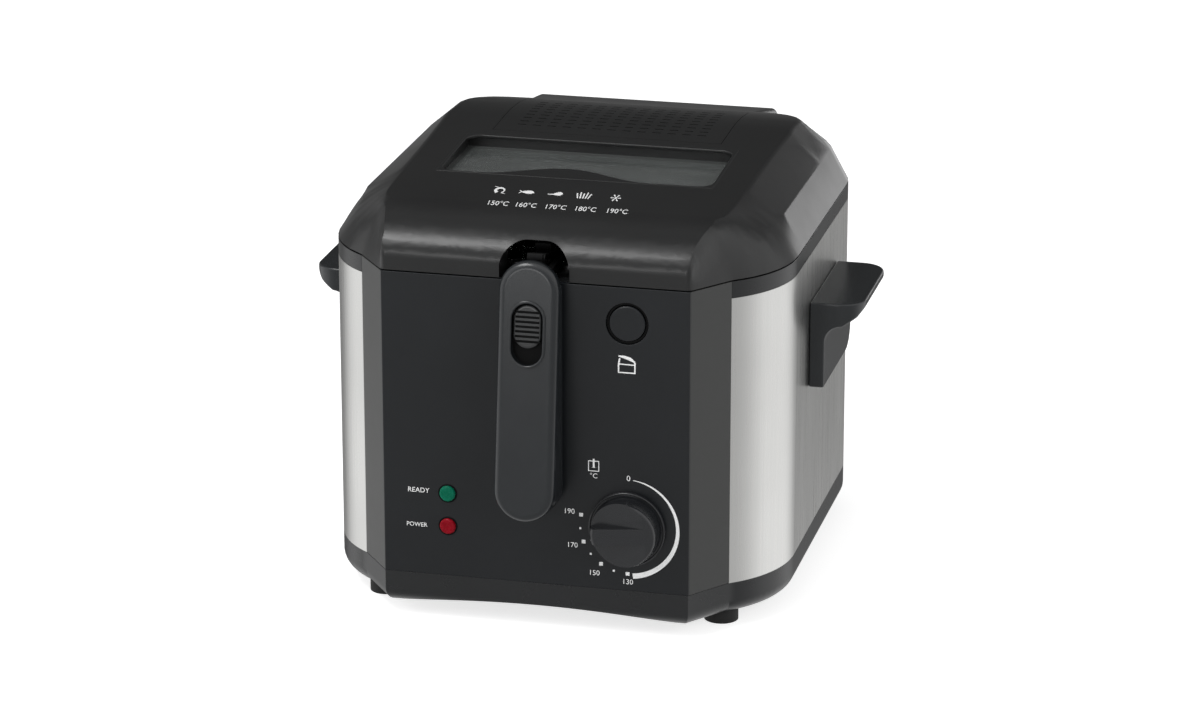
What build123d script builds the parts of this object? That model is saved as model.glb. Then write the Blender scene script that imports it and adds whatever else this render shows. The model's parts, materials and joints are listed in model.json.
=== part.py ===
from build123d import *
import os
from math import acos, cos, pi, radians, sin, sqrt, tan

os.makedirs("parts", exist_ok=True)

# Countertop deep fryer, in millimetres. +Z is up, -Y is the front with the controls,
# and the origin is the middle of the part's box, on the surface that it stands on.

# Body: flat front panel, two angled corners, round shoulders and straight sides
BODY_HALF = 136.0
SHOULDER_X = 27.2
CHAMFER_X = 18.8
CHAMFER_Y = 25.4
PANEL_HALF = BODY_HALF - SHOULDER_X - CHAMFER_X
SHOULDER_Y = 80.0
BODY_DEPTH = 275.0
REAR_CORNER_R = 40.0
FOOT_H = 8.0
SKIRT_H = 20.0
PANEL_H = 183.0
COLLAR_H = 10.8
SEAM = 0.8
GAP = 0.3
FIT = 0.03

# Walls
SKIRT_T = 3.0
PANEL_T = 3.0
WRAP_T = 0.8
LID_T = 2.5

# Wedge-shaped basket grip and the hump over the hinge, which reach furthest to the front and rear
GRIP_LEAN = 7.0
GRIP_W = 35.5
GRIP_PROUD = 13.5
GRIP_LOW = 138.5
GRIP_HIGH = 12.4
GRIP_ROUND = 4.5
PIVOT_DEPTH = 3.0
PIVOT_RISE = 1.0
HUMP_REACH = 37.5

grip_tip_out = (GRIP_PROUD + PIVOT_DEPTH - GRIP_ROUND) * cos(radians(GRIP_LEAN))
grip_tip_lean = (GRIP_LOW + PIVOT_RISE - GRIP_ROUND) * sin(radians(GRIP_LEAN))
GRIP_REACH = grip_tip_out + grip_tip_lean + GRIP_ROUND - PIVOT_DEPTH
FRONT_Y = GRIP_REACH - (GRIP_REACH + BODY_DEPTH + HUMP_REACH) / 2
REAR_Y = FRONT_Y + BODY_DEPTH
BASE_Z = FOOT_H + SKIRT_H
LID_Z = BASE_Z + PANEL_H
RIM_Z = LID_Z - SEAM
COLLAR_Z = LID_Z - COLLAR_H
CHAMFER_END = FRONT_Y + CHAMFER_Y
pivot_y = FRONT_Y + PIVOT_DEPTH
pivot_z = LID_Z + PIVOT_RISE

# Base
FLOOR_T = 3.0
FLOOR_RISE = 8.0
FLOOR_Z = FOOT_H + FLOOR_RISE
SKIRT_ROUND = 9.0
ARCH_RISE = 6.0
ARCH_HALF = 88.0
ARCH_DEPTH = 90.0
FOOT_R = 10.0
FOOT_IN = 35.0
FOOT_FRONT = 41.0
FOOT_REAR = 40.0
POST_R = 5.0
POST_X = 80.0
POST_FRONT = 75.0
POST_REAR = 60.0
SCREW_R = 1.8
SCREW_HEAD_R = 4.0
SCREW_HEAD_H = 2.5
SCREW_L = 12.0

# Oil bowl and what heats it
BOWL_FRONT = 42.0
BOWL_REAR = 27.0
BOWL_SIDE = 30.0
BOWL_HALF = BODY_HALF - BOWL_SIDE
BOWL_DEPTH = 120.0
BOWL_T = 1.0
BOWL_CORNER_R = 28.0
BOWL_FOOT_R = 12.0
FLANGE_W = 4.0
FLANGE_T = 1.5
FLANGE_DROP = 5.0
ELEMENT_R = 4.0
ELEMENT_HALF = 66.0
ELEMENT_FRONT = 95.0
ELEMENT_REAR = 75.0
ELEMENT_BEND = 30.0
SHIELD_DROP = 22.0
SHIELD_T = 1.0
SHIELD_HALF = 98.0
SHIELD_MARGIN = 15.0
FUSE_R = 9.0
FUSE_H = 10.0

# Basket
BASKET_FRONT = 74.0
BASKET_REAR = 40.0
BASKET_SIDE = 14.0
BASKET_HALF = BOWL_HALF - BASKET_SIDE
BASKET_RISE = 9.8
BASKET_DROP = 24.0
MESH_T = 1.5
MESH_PITCH = 11.0
MESH_WIRE = 2.0
RIM_WIRE = 4.0
RIM_ROUND = 1.6

# Folding basket handle and its lift gear, in the middle of the front
GRIP_GAP = 4.0
GRIP_BACK_ROUND = 2.5
GRIP_DEEP = 45.0
GRIP_WALL = 7.0
COVER_T = 1.5
COVER_MARGIN = 4.0
COVER_DROP = 24.0
SLIDER_W = 16.4
SLIDER_L = 25.4
SLIDER_T = 4.6
SLIDER_ROUND = 1.5
SLIDER_TRAVEL = 8.5
SLIDER_DROP = 25.0
SLIDER_RIBS = 7
RIB_PITCH = 2.8
RIB_W = 1.4
RIB_L = 14.0
RIB_T = 1.0
RECESS_MARGIN = 1.1
RECESS_T = 5.0
PIN_R = 3.0
RUN = 0.05
TOOTH_MODULE = 2.0
DRIVE_TEETH = 12
ARM_TEETH = 15
PRESSURE_ANGLE = 28.0
BACKLASH = 0.25
ADDENDUM = 0.9
DEDENDUM = 1.1
FLANK_STEPS = 3
SECTOR_T = 9.0
HUB_R = 6.5
ARM_REACH = 33.0
ARM_SWING = 72.0
ARM_W = 7.0
ARM_EYE = 2.0
ELBOW_Y = 17.0
ELBOW_Z = 3.0
CROSS_PIN_HALF = 17.0
LIFT_GAP = 0.9
CHEEK_T = 3.5
CHEEK_GAP = 2.0
CHEEK_R = 5.5
CHEEK_DROP = 20.0
HOUSING_PLATE = 2.0
HOUSING_EAR = 9.2
HOUSING_EAR_FRONT = 12.0
HOUSING_EAR_REAR = 34.0
TAB_T = 2.0
TAB_IN = 7.0
TAB_OUT = 16.0
TAB_FRONT = 50.0

# Lid: its side edge, its crown's edge from front to rear, and its side profile
LID_EDGE_H = 20.0
LID_CAP_H = 40.0
EDGE_IN = 11.0
CROWN_SHOULDER_Y = 51.0
CROWN_SHOULDER_IN = 34.0
CROWN_IN = 30.0
CROWN_REACH = 60.0
EDGE_START = 4.0
LID_STEPS = 6
NOSE_STEP = 8.0
NOSE_BACK = 45.0
NOSE_TOP = 31.0
NOSE_ROUND = 0.55
NOSE_RISE = 1.0
CROWN_BACK = 205.0
CROWN_TOP = 37.4
TAIL_TOP = 30.0
ARCH_W = 20.5
ARCH_TOP = 21.0
ARCH_R = 15.0
HOOD_DEPTH = 20.0
RIM_LOW = 3.5
RIM_T = 2.0
RIM_IN = 12.0
SEAL_OUT = 6.5
SEAL_W = 3.5
FRONT_CLEAR = 28.0
WINDOW_HALF = 82.5
WINDOW_FRONT = 93.6
WINDOW_BACK = 165.0
WINDOW_SEAT = 25.2
WINDOW_LEDGE = 4.0
GASKET_T = 0.8
GLASS_T = 2.6
VENT_HALF = 70.0
VENT_FRONT = 176.0
VENT_BACK = 258.0
VENT_T = 2.0
VENT_LEDGE = 10.0
VENT_ROWS = 9
VENT_SLOTS = 13
VENT_SLOT_L = 5.5
VENT_SLOT_W = 1.3
INNER_Z = 20.0
INNER_T = 1.0
INNER_HALF = 96.0
INNER_FRONT = 86.0
INNER_BACK = 262.0
INNER_CORNER_R = 20.0
PAD_T = 10.0
BOSS_R = 4.5
BOSS_X = 88.0
BOSS_FRONT = 92.0
BOSS_BACK = 252.0

# Lid hinge, behind the body
HINGE_BACK = 8.0
HINGE_RISE = 6.0
HINGE_R = 7.0
KNUCKLE_HALF = 45.0
LUG_T = 12.0
HUMP_HALF = 75.5
HUMP_SPREAD = 10.0
HUMP_TOP = 22.5
HUMP_LOW = 2.0
HUMP_START = 18.0

# Lid release button and latch
BUTTON_X = 53.9
BUTTON_Z = 160.9
BUTTON_R = 10.4
BUTTON_DEPTH = 5.0
BUTTON_PROUD = 0.2
BUTTON_ROUND = 0.8
BUTTON_TRAVEL = 3.0
BEZEL_W = 1.6
BEZEL_DEPTH = 1.3
BEZEL_ROUND = 0.3
STEM_R = 4.0
STEM_END = 12.0
GUIDE_T = 1.2
GUIDE_FLOOR = 9.5
SPRING_R = 6.5
LATCH_HALF = 7.0
LATCH_PLATE_Y = 15.6
LATCH_PLATE_T = 1.3
LATCH_PLATE_LOW = 36.0
LATCH_PLATE_HIGH = 6.0
HOOK_GAP = 1.5
HOOK_T = 2.5
HOOK_DROP = 16.0

# Thermostat, dial and lamps
DIAL_X = 54.5
DIAL_Z = 38.4
KNOB_R = 22.5
KNOB_FLANGE_T = 2.5
KNOB_H = 15.5
KNOB_BODY_R = 20.8
KNOB_TAPER = 7.0
KNOB_ROUND = 3.0
KNOB_BAR_W = 9.5
KNOB_VALLEY = 7.5
KNOB_FADE = 13.0
KNOB_TURN = 5.0
SHAFT_R = 3.0
SHAFT_IN = 18.0
THERMO_W = 34.0
THERMO_H = 30.0
THERMO_T = 22.0
THERMO_ROUND = 3.0
THERMO_NECK_R = 5.0
LAMP_X = -52.0
LAMP_GREEN_Z = 50.5
LAMP_RED_Z = 30.5
LAMP_R = 4.0
LAMP_RIM_R = 4.75
LAMP_PROUD = 1.6
LAMP_ROUND = 1.3
LAMP_DEPTH = 8.0
LAMP_BOX_W = 16.0
LAMP_BOX_H = 36.0
LAMP_BOX_T = 8.0
LAMP_BOX_ROUND = 2.0

# Side handles
WING_Z = 143.0
WING_T = 9.0
WING_ROOT = 14.0
WING_BEND = 10.0
WING_EDGE = 4.0
WING_OUT = 31.0
WING_FRONT = 118.0
WING_BACK = 205.0
WING_ROUND = 15.0
LEG_T = 9.0
LEG_H = 52.0

# Mains entry
GLAND_X = 62.0
GLAND_R = 4.0
GLAND_HEAD_R = 6.5
GLAND_HEAD_T = 4.0
GLAND_NUT_T = 4.0
BLOCK_W = 30.0
BLOCK_D = 18.0
BLOCK_H = 14.0
BLOCK_BACK = 42.0
BLOCK_ROUND = 1.0


def front_plane(depth=0.0):
    """Upright plane a given depth behind the front panel's face; its x is X and its y is Z."""
    return Plane.XZ.offset(-(FRONT_Y + depth))


def grip_plane(depth):
    """Leaning plane of the grip, with its zero level with the pivot; its y runs up the grip."""
    lean = radians(GRIP_LEAN)
    out = PIVOT_DEPTH - depth
    origin = (0, pivot_y - out * cos(lean), pivot_z + out * sin(lean))
    return Plane(origin=origin, x_dir=(1, 0, 0), z_dir=(0, -cos(lean), sin(lean)))


def side_plane(x, y, z):
    """Upright plane across X with its zero at a point; its x is Y and its y is Z."""
    return Plane(origin=(x, y, z), x_dir=(0, 1, 0), z_dir=(1, 0, 0))


def ring_edges(half_front, corner, side_half, side_y, front_y, rear_y, rear_r):
    """One closed outline, symmetric about X = 0: front edge, angled corner, shoulder, side, rear."""
    shoulder = (side_half, side_y)
    side_end = (side_half, rear_y - rear_r)
    rear_end = (side_half - rear_r, rear_y)
    with BuildLine() as outline:
        Line((0, front_y), (half_front, front_y))
        Line((half_front, front_y), corner)
        TangentArc(shoulder, corner, tangent=(0, -1))
        Line(shoulder, side_end)
        TangentArc(side_end, rear_end, tangent=(0, 1))
        Line(rear_end, (0, rear_y))
        mirror(about=Plane.YZ)
    return outline.edges()


def body_plan(z, inset=0.0):
    """The body's outline at a height, drawn in by an inset all round."""
    with BuildSketch(Plane.XY.offset(z)) as plan:
        corner = (PANEL_HALF + CHAMFER_X, CHAMFER_END)
        make_face(ring_edges(PANEL_HALF, corner, BODY_HALF, FRONT_Y + SHOULDER_Y, FRONT_Y, REAR_Y,
                             REAR_CORNER_R))
        if inset > 0:
            offset(amount=-inset, kind=Kind.INTERSECTION)
    return plan.sketch


def box_plan(z, half_x, y0, y1, corner_r=0.0):
    """A rectangle about X = 0 between two Y values at a height, with round corners."""
    with BuildSketch(Plane.XY.offset(z)) as plan:
        with Locations((0, (y0 + y1) / 2)):
            if corner_r > 0:
                RectangleRounded(2 * half_x, y1 - y0, corner_r)
            else:
                Rectangle(2 * half_x, y1 - y0)
    return plan.sketch


def discs(plane, radius, spots=((0, 0),)):
    """Discs of one radius at spots on a plane."""
    with BuildSketch(plane) as spread:
        with Locations(*spots):
            Circle(radius)
    return spread.sketch


def save(builder, name):
    """Names a finished piece and writes its file."""
    builder.part.label = name
    export_step(builder.part, f"parts/{name}.step")


# Base
foot_x = BODY_HALF - FOOT_IN
foot_spots = [(sx * foot_x, y) for sx in (-1, 1) for y in (FRONT_Y + FOOT_FRONT, REAR_Y - FOOT_REAR)]
post_spots = [(sx * POST_X, y) for sx in (-1, 1) for y in (FRONT_Y + POST_FRONT, REAR_Y - POST_REAR)]
floor_top = FLOOR_Z + FLOOR_T
bowl_base_z = RIM_Z - FLANGE_DROP - BOWL_DEPTH
shield_z = bowl_base_z - SHIELD_DROP
gland_z = (floor_top + BASE_Z) / 2
arch_r = (ARCH_HALF**2 + ARCH_RISE**2) / (2 * ARCH_RISE)

with BuildPart() as base_tray:
    extrude(body_plan(FOOT_H), amount=SKIRT_H)
    fillet(base_tray.faces().sort_by(Axis.Z)[0].edges(), SKIRT_ROUND)
    extrude(body_plan(floor_top, SKIRT_T), amount=BASE_Z - floor_top, mode=Mode.SUBTRACT)
    extrude(body_plan(FOOT_H, SKIRT_ROUND + SKIRT_T), amount=FLOOR_Z - FOOT_H, mode=Mode.SUBTRACT)
    extrude(discs(front_plane(), arch_r, [(0, FOOT_H + ARCH_RISE - arch_r)]),
            amount=-ARCH_DEPTH, mode=Mode.SUBTRACT)
    extrude(discs(Plane.XY.offset(FOOT_H), FOOT_R + GAP, foot_spots),
            amount=FLOOR_Z - FOOT_H, mode=Mode.SUBTRACT)
    extrude(discs(Plane.XY.offset(floor_top), POST_R, post_spots), amount=shield_z - floor_top)
    extrude(discs(Plane.XY.offset(FLOOR_Z), SCREW_R + FIT, post_spots),
            amount=SCREW_L + FIT, mode=Mode.SUBTRACT)
    extrude(discs(Plane.XZ.offset(-REAR_Y), GLAND_R + FIT, [(GLAND_X, gland_z)]),
            amount=2 * SKIRT_T, mode=Mode.SUBTRACT)
save(base_tray, "base_tray")

with BuildPart() as rubber_feet:
    extrude(discs(Plane.XY, FOOT_R, foot_spots), amount=FLOOR_Z)
save(rubber_feet, "rubber_feet")

with BuildPart() as base_screws:
    extrude(discs(Plane.XY.offset(FLOOR_Z - SCREW_HEAD_H), SCREW_HEAD_R, post_spots), amount=SCREW_HEAD_H)
    extrude(discs(Plane.XY.offset(FLOOR_Z), SCREW_R, post_spots), amount=SCREW_L)
save(base_screws, "base_screws")

# Mains entry: the gland in the rear of the base and the block that its wires end in
with BuildPart() as cord_gland:
    extrude(discs(Plane.XZ.offset(-REAR_Y), GLAND_HEAD_R, [(GLAND_X, gland_z)]), amount=-GLAND_HEAD_T)
    extrude(discs(Plane.XZ.offset(-REAR_Y), GLAND_R, [(GLAND_X, gland_z)]), amount=SKIRT_T + GLAND_NUT_T)
    extrude(discs(Plane.XZ.offset(-REAR_Y), GLAND_R / 2, [(GLAND_X, gland_z)]),
            amount=GLAND_HEAD_T + SKIRT_T + GLAND_NUT_T, both=True, mode=Mode.SUBTRACT)
save(cord_gland, "cord_gland")

with BuildPart() as terminal_block:
    with BuildSketch(Plane.XY.offset(floor_top)):
        with Locations((GLAND_X, REAR_Y - BLOCK_BACK)):
            Rectangle(BLOCK_W, BLOCK_D)
    extrude(amount=BLOCK_H)
    fillet(terminal_block.faces().sort_by(Axis.Z)[-1].edges(), BLOCK_ROUND)
save(terminal_block, "terminal_block")

# Casing: front panel, steel wrap and the collar that joins them under the lid
slot_half = SECTOR_T / 2 + CHEEK_GAP + CHEEK_T + GAP
latch_slot_half = LATCH_HALF + GAP
latch_slot_y0 = FRONT_Y + LATCH_PLATE_Y - GAP
hook_y = FRONT_Y + LATCH_PLATE_Y + LATCH_PLATE_T + HOOK_GAP
latch_slot_y1 = hook_y + HOOK_T + HOOK_GAP
button = (BUTTON_X, BASE_Z + BUTTON_Z)
guide_r = BUTTON_R + GAP
guide_end = GUIDE_FLOOR + GUIDE_T

with BuildPart() as front_panel:
    extrude(body_plan(BASE_Z), amount=RIM_Z - BASE_Z)
    extrude(body_plan(BASE_Z, PANEL_T), amount=RIM_Z - BASE_Z, mode=Mode.SUBTRACT)
    split(bisect_by=front_plane(CHAMFER_Y), keep=Keep.TOP)
    with BuildSketch(front_plane()):
        with Locations((0, RIM_Z)):
            Rectangle(2 * slot_half, 2 * (CHEEK_DROP + GAP))
    extrude(amount=-PANEL_T, mode=Mode.SUBTRACT)
    lamp_spots = [(LAMP_X, BASE_Z + z) for z in (LAMP_GREEN_Z, LAMP_RED_Z)]
    extrude(discs(front_plane(), guide_r + BEZEL_W, [button]),
            amount=-PANEL_T, mode=Mode.SUBTRACT)
    extrude(discs(front_plane(), THERMO_NECK_R + FIT, [(DIAL_X, BASE_Z + DIAL_Z)]),
            amount=-PANEL_T, mode=Mode.SUBTRACT)
    extrude(discs(front_plane(), LAMP_R + FIT, lamp_spots), amount=-PANEL_T, mode=Mode.SUBTRACT)
save(front_panel, "front_panel")

with BuildPart() as steel_wrap:
    extrude(body_plan(BASE_Z), amount=COLLAR_Z - BASE_Z)
    extrude(body_plan(BASE_Z, WRAP_T), amount=COLLAR_Z - BASE_Z, mode=Mode.SUBTRACT)
    split(bisect_by=front_plane(CHAMFER_Y), keep=Keep.BOTTOM)
save(steel_wrap, "steel_wrap")

hinge_y = REAR_Y + HINGE_BACK
hinge_z = LID_Z + HINGE_RISE
lug_in = KNUCKLE_HALF + GAP
bowl_y0 = FRONT_Y + BOWL_FRONT
bowl_y1 = REAR_Y - BOWL_REAR

with BuildPart() as top_collar:
    extrude(body_plan(COLLAR_Z), amount=RIM_Z - COLLAR_Z)
    split(bisect_by=front_plane(CHAMFER_Y), keep=Keep.BOTTOM)
    extrude(body_plan(COLLAR_Z, PANEL_T + GAP), amount=RIM_Z - COLLAR_Z)
    extrude(box_plan(COLLAR_Z, BOWL_HALF + GAP, bowl_y0 - GAP, bowl_y1 + GAP, BOWL_CORNER_R + GAP),
            amount=RIM_Z - COLLAR_Z, mode=Mode.SUBTRACT)
    flange = FLANGE_W + GAP
    extrude(box_plan(RIM_Z - FLANGE_DROP, BOWL_HALF + flange, bowl_y0 - flange, bowl_y1 + flange,
                     BOWL_CORNER_R + flange),
            amount=FLANGE_DROP, mode=Mode.SUBTRACT)
    extrude(box_plan(COLLAR_Z, slot_half, FRONT_Y, bowl_y0), amount=RIM_Z - COLLAR_Z, mode=Mode.SUBTRACT)
    with BuildSketch(Plane.XY.offset(COLLAR_Z)):
        with Locations((BUTTON_X, (latch_slot_y0 + latch_slot_y1) / 2)):
            Rectangle(2 * latch_slot_half, latch_slot_y1 - latch_slot_y0)
    extrude(amount=RIM_Z - COLLAR_Z, mode=Mode.SUBTRACT)
    extrude(discs(front_plane(PANEL_T), guide_r + GUIDE_T + GAP, [button]),
            amount=-(guide_end + GAP - PANEL_T), mode=Mode.SUBTRACT)
    for lug_x in (lug_in, -lug_in - LUG_T):
        with BuildSketch(side_plane(lug_x, hinge_y, hinge_z)):
            Circle(HINGE_R)
            with BuildLine():
                Polyline((HINGE_R, 0), (HINGE_R, COLLAR_Z - hinge_z + HINGE_R), (0, COLLAR_Z - hinge_z),
                         (-HINGE_BACK - WRAP_T, COLLAR_Z - hinge_z), (-HINGE_BACK - WRAP_T, RIM_Z - hinge_z),
                         (-HINGE_R, RIM_Z - hinge_z), (-HINGE_R, 0), close=True)
            make_face()
            Circle(PIN_R + FIT, mode=Mode.SUBTRACT)
        extrude(amount=LUG_T)
save(top_collar, "top_collar")

with BuildPart() as hinge_pin:
    with BuildSketch(side_plane(0, hinge_y, hinge_z)):
        Circle(PIN_R)
    extrude(amount=lug_in + LUG_T, both=True)
save(hinge_pin, "hinge_pin")

# Side handles: a foot against the steel, with a wing that stands out from its top
for side, name in ((-1, "left_carry_handle"), (1, "right_carry_handle")):
    inner = BODY_HALF
    outer = BODY_HALF + WING_OUT
    wing_top = BASE_Z + WING_Z
    with BuildPart() as carry_handle:
        with BuildSketch(front_plane(WING_FRONT)):
            with BuildLine():
                bend_top = (inner + LEG_T + WING_BEND, wing_top - WING_ROOT)
                bend_low = (inner + LEG_T, wing_top - WING_ROOT - WING_BEND)
                Polyline(bend_low, (inner + LEG_T, wing_top - LEG_H), (inner, wing_top - LEG_H),
                         (inner, wing_top), (outer, wing_top), (outer, wing_top - WING_EDGE),
                         (outer - WING_EDGE, wing_top - WING_T), bend_top)
                TangentArc(bend_low, bend_top, tangent=(0, 1))
            make_face()
        extrude(amount=-(WING_BACK - WING_FRONT))
        tips = carry_handle.edges().filter_by(Axis.Z).group_by(Axis.X)[-1]
        fillet(tips, WING_ROUND)
        heel = carry_handle.edges().filter_by(Axis.X).group_by(Axis.Z)[0].sort_by(Axis.Y)[-1]
        fillet(heel, WING_ROUND)
        if side < 0:
            mirror(about=Plane.YZ, mode=Mode.REPLACE)
    save(carry_handle, name)

# Oil bowl, heater, heat shield and fuse
with BuildPart() as oil_bowl:
    extrude(box_plan(bowl_base_z, BOWL_HALF, bowl_y0, bowl_y1, BOWL_CORNER_R), amount=BOWL_DEPTH + FLANGE_T)
    fillet(oil_bowl.faces().sort_by(Axis.Z)[0].edges(), BOWL_FOOT_R)
    offset(amount=-BOWL_T, openings=oil_bowl.faces().sort_by(Axis.Z)[-1])
    extrude(box_plan(RIM_Z - FLANGE_DROP, BOWL_HALF + FLANGE_W, bowl_y0 - FLANGE_W, bowl_y1 + FLANGE_W,
                     BOWL_CORNER_R + FLANGE_W),
            amount=FLANGE_T)
    extrude(box_plan(RIM_Z - FLANGE_DROP, BOWL_HALF - BOWL_T, bowl_y0 + BOWL_T, bowl_y1 - BOWL_T,
                     BOWL_CORNER_R - BOWL_T),
            amount=FLANGE_T, mode=Mode.SUBTRACT)
save(oil_bowl, "oil_bowl")

element_z = bowl_base_z - GAP - ELEMENT_R
element_y0 = FRONT_Y + ELEMENT_FRONT
element_y1 = REAR_Y - ELEMENT_REAR
with BuildPart() as heating_element:
    with BuildLine() as element_path:
        FilletPolyline((-ELEMENT_HALF, element_y1, element_z), (-ELEMENT_HALF, element_y0, element_z),
                       (ELEMENT_HALF, element_y0, element_z), (ELEMENT_HALF, element_y1, element_z),
                       radius=ELEMENT_BEND)
    with BuildSketch(Plane(origin=(-ELEMENT_HALF, element_y1, element_z), z_dir=(0, -1, 0))):
        Circle(ELEMENT_R)
    sweep(path=element_path.line)
save(heating_element, "heating_element")

with BuildPart() as heat_shield:
    extrude(box_plan(shield_z, SHIELD_HALF, FRONT_Y + POST_FRONT - SHIELD_MARGIN,
                     REAR_Y - POST_REAR + SHIELD_MARGIN, BOWL_CORNER_R),
            amount=SHIELD_T)
save(heat_shield, "heat_shield")

with BuildPart() as thermal_fuse:
    extrude(discs(Plane.XY.offset(bowl_base_z - GAP), FUSE_R, [(0, (bowl_y0 + bowl_y1) / 2)]), amount=-FUSE_H)
save(thermal_fuse, "thermal_fuse")

# Thermostat, its shaft and the dial knob
dial = (DIAL_X, BASE_Z + DIAL_Z)
with BuildPart() as thermostat_body:
    with BuildSketch(front_plane(PANEL_T)):
        with Locations(dial):
            RectangleRounded(THERMO_W, THERMO_H, THERMO_ROUND)
    extrude(amount=-THERMO_T)
    extrude(discs(front_plane(PANEL_T), THERMO_NECK_R, [dial]), amount=PANEL_T)
    extrude(discs(front_plane(), SHAFT_R + RUN, [dial]), amount=-(SHAFT_IN + GAP), mode=Mode.SUBTRACT)
save(thermostat_body, "thermostat_body")

with BuildPart() as thermostat_shaft:
    extrude(discs(front_plane(SHAFT_IN), SHAFT_R, [dial]), amount=SHAFT_IN + KNOB_H / 2)
save(thermostat_shaft, "thermostat_shaft")

with BuildPart() as control_knob:
    extrude(discs(front_plane(-GAP), KNOB_R, [dial]), amount=KNOB_FLANGE_T)
    extrude(discs(front_plane(-GAP), KNOB_BODY_R, [dial]), amount=KNOB_H, taper=KNOB_TAPER)
    fillet(control_knob.faces().sort_by(Axis.Y)[0].edges(), KNOB_ROUND)
    along = Vector(cos(radians(KNOB_TURN)), 0, sin(radians(KNOB_TURN)))
    across = Vector(-along.Z, 0, along.X)
    dial_top = Vector(DIAL_X, FRONT_Y - GAP - KNOB_H, BASE_Z + DIAL_Z)
    for side in (-1, 1):
        wall = dial_top + across * (side * KNOB_BAR_W / 2)
        with BuildSketch(Plane(origin=wall, x_dir=along, z_dir=across * side)) as valley:
            with BuildLine():
                Polyline((KNOB_FADE, 0), (-KNOB_R, side * KNOB_VALLEY), (-KNOB_R, -side * KNOB_R),
                         (KNOB_FADE, -side * KNOB_R), close=True)
            make_face()
        extrude(amount=KNOB_R, mode=Mode.SUBTRACT)
    extrude(discs(front_plane(), SHAFT_R + FIT, [dial]), amount=KNOB_H / 2 + FIT, mode=Mode.SUBTRACT)
save(control_knob, "control_knob")

# Signal lamps and the holder behind them
for name, lamp_z in (("green_lamp_lens", LAMP_GREEN_Z), ("red_lamp_lens", LAMP_RED_Z)):
    spot = [(LAMP_X, BASE_Z + lamp_z)]
    with BuildPart() as lamp_lens:
        extrude(discs(front_plane(), LAMP_RIM_R, spot), amount=LAMP_PROUD)
        fillet(lamp_lens.faces().sort_by(Axis.Y)[0].edges(), LAMP_ROUND)
        extrude(discs(front_plane(), LAMP_R, spot), amount=-LAMP_DEPTH)
    save(lamp_lens, name)

with BuildPart() as lamp_holder:
    lamp_mid = (LAMP_X, BASE_Z + (LAMP_GREEN_Z + LAMP_RED_Z) / 2)
    with BuildSketch(front_plane(LAMP_DEPTH)):
        with Locations(lamp_mid):
            RectangleRounded(LAMP_BOX_W, LAMP_BOX_H, LAMP_BOX_ROUND)
    extrude(amount=-LAMP_BOX_T)
    extrude(discs(front_plane(PANEL_T), LAMP_R, [lamp_mid]), amount=-(LAMP_DEPTH - PANEL_T))
save(lamp_holder, "lamp_holder")

# Lid release: bezel in a groove round the button, the button, its guide and spring, and the latch plate
with BuildPart() as button_bezel:
    with BuildSketch(front_plane(PANEL_T)):
        with Locations(button):
            Circle(guide_r + BEZEL_W - FIT)
            Circle(guide_r, mode=Mode.SUBTRACT)
    extrude(amount=PANEL_T - BEZEL_DEPTH)
    fillet(button_bezel.faces().sort_by(Axis.Y)[0].edges(), BEZEL_ROUND)
save(button_bezel, "button_bezel")

with BuildPart() as lid_button:
    extrude(discs(front_plane(BUTTON_DEPTH), BUTTON_R, [button]), amount=BUTTON_DEPTH + BUTTON_PROUD)
    fillet(lid_button.faces().sort_by(Axis.Y)[0].edges(), BUTTON_ROUND)
    extrude(discs(front_plane(BUTTON_DEPTH), STEM_R, [button]), amount=-(STEM_END - BUTTON_DEPTH))
save(lid_button, "lid_button")

with BuildPart() as button_guide:
    extrude(discs(front_plane(PANEL_T), guide_r + GUIDE_T, [button]), amount=-(guide_end - PANEL_T))
    extrude(discs(front_plane(PANEL_T), guide_r, [button]),
            amount=-(GUIDE_FLOOR - PANEL_T), mode=Mode.SUBTRACT)
    extrude(discs(front_plane(GUIDE_FLOOR), STEM_R + GAP, [button]), amount=-GUIDE_T, mode=Mode.SUBTRACT)
save(button_guide, "button_guide")

with BuildPart() as button_spring:
    with BuildSketch(front_plane(BUTTON_DEPTH + BUTTON_TRAVEL + GAP)):
        with Locations(button):
            Circle(SPRING_R)
            Circle(STEM_R + GAP, mode=Mode.SUBTRACT)
    extrude(amount=-(GUIDE_FLOOR - BUTTON_DEPTH - BUTTON_TRAVEL - GAP))
save(button_spring, "button_spring")

with BuildPart() as latch_plate:
    with BuildSketch(side_plane(BUTTON_X, FRONT_Y, LID_Z)):
        with BuildLine():
            Polyline((LATCH_PLATE_Y, -LATCH_PLATE_HIGH), (LATCH_PLATE_Y, -LATCH_PLATE_LOW + LATCH_PLATE_T),
                     (PANEL_T, -LATCH_PLATE_LOW + LATCH_PLATE_T), (PANEL_T, -LATCH_PLATE_LOW),
                     (LATCH_PLATE_Y + LATCH_PLATE_T, -LATCH_PLATE_LOW),
                     (LATCH_PLATE_Y + LATCH_PLATE_T, -LATCH_PLATE_HIGH), close=True)
        make_face()
    extrude(amount=LATCH_HALF, both=True)
save(latch_plate, "latch_plate")

# Basket handle: grip, back cover and the slider in its recess
grip_front = -GRIP_PROUD
grip_back = -GRIP_GAP
grip_mid = (GRIP_HIGH - GRIP_LOW) / 2 - PIVOT_RISE
grip_l = GRIP_HIGH + GRIP_LOW
slider_mid = -SLIDER_DROP - PIVOT_RISE
recess_l = SLIDER_L + SLIDER_TRAVEL + 2 * RECESS_MARGIN
recess_mid = slider_mid - SLIDER_TRAVEL / 2

pocket_low = COVER_MARGIN - GRIP_LOW - PIVOT_RISE
pocket_high = -COVER_DROP - PIVOT_RISE
pocket_w = GRIP_W - 2 * COVER_MARGIN


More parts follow.
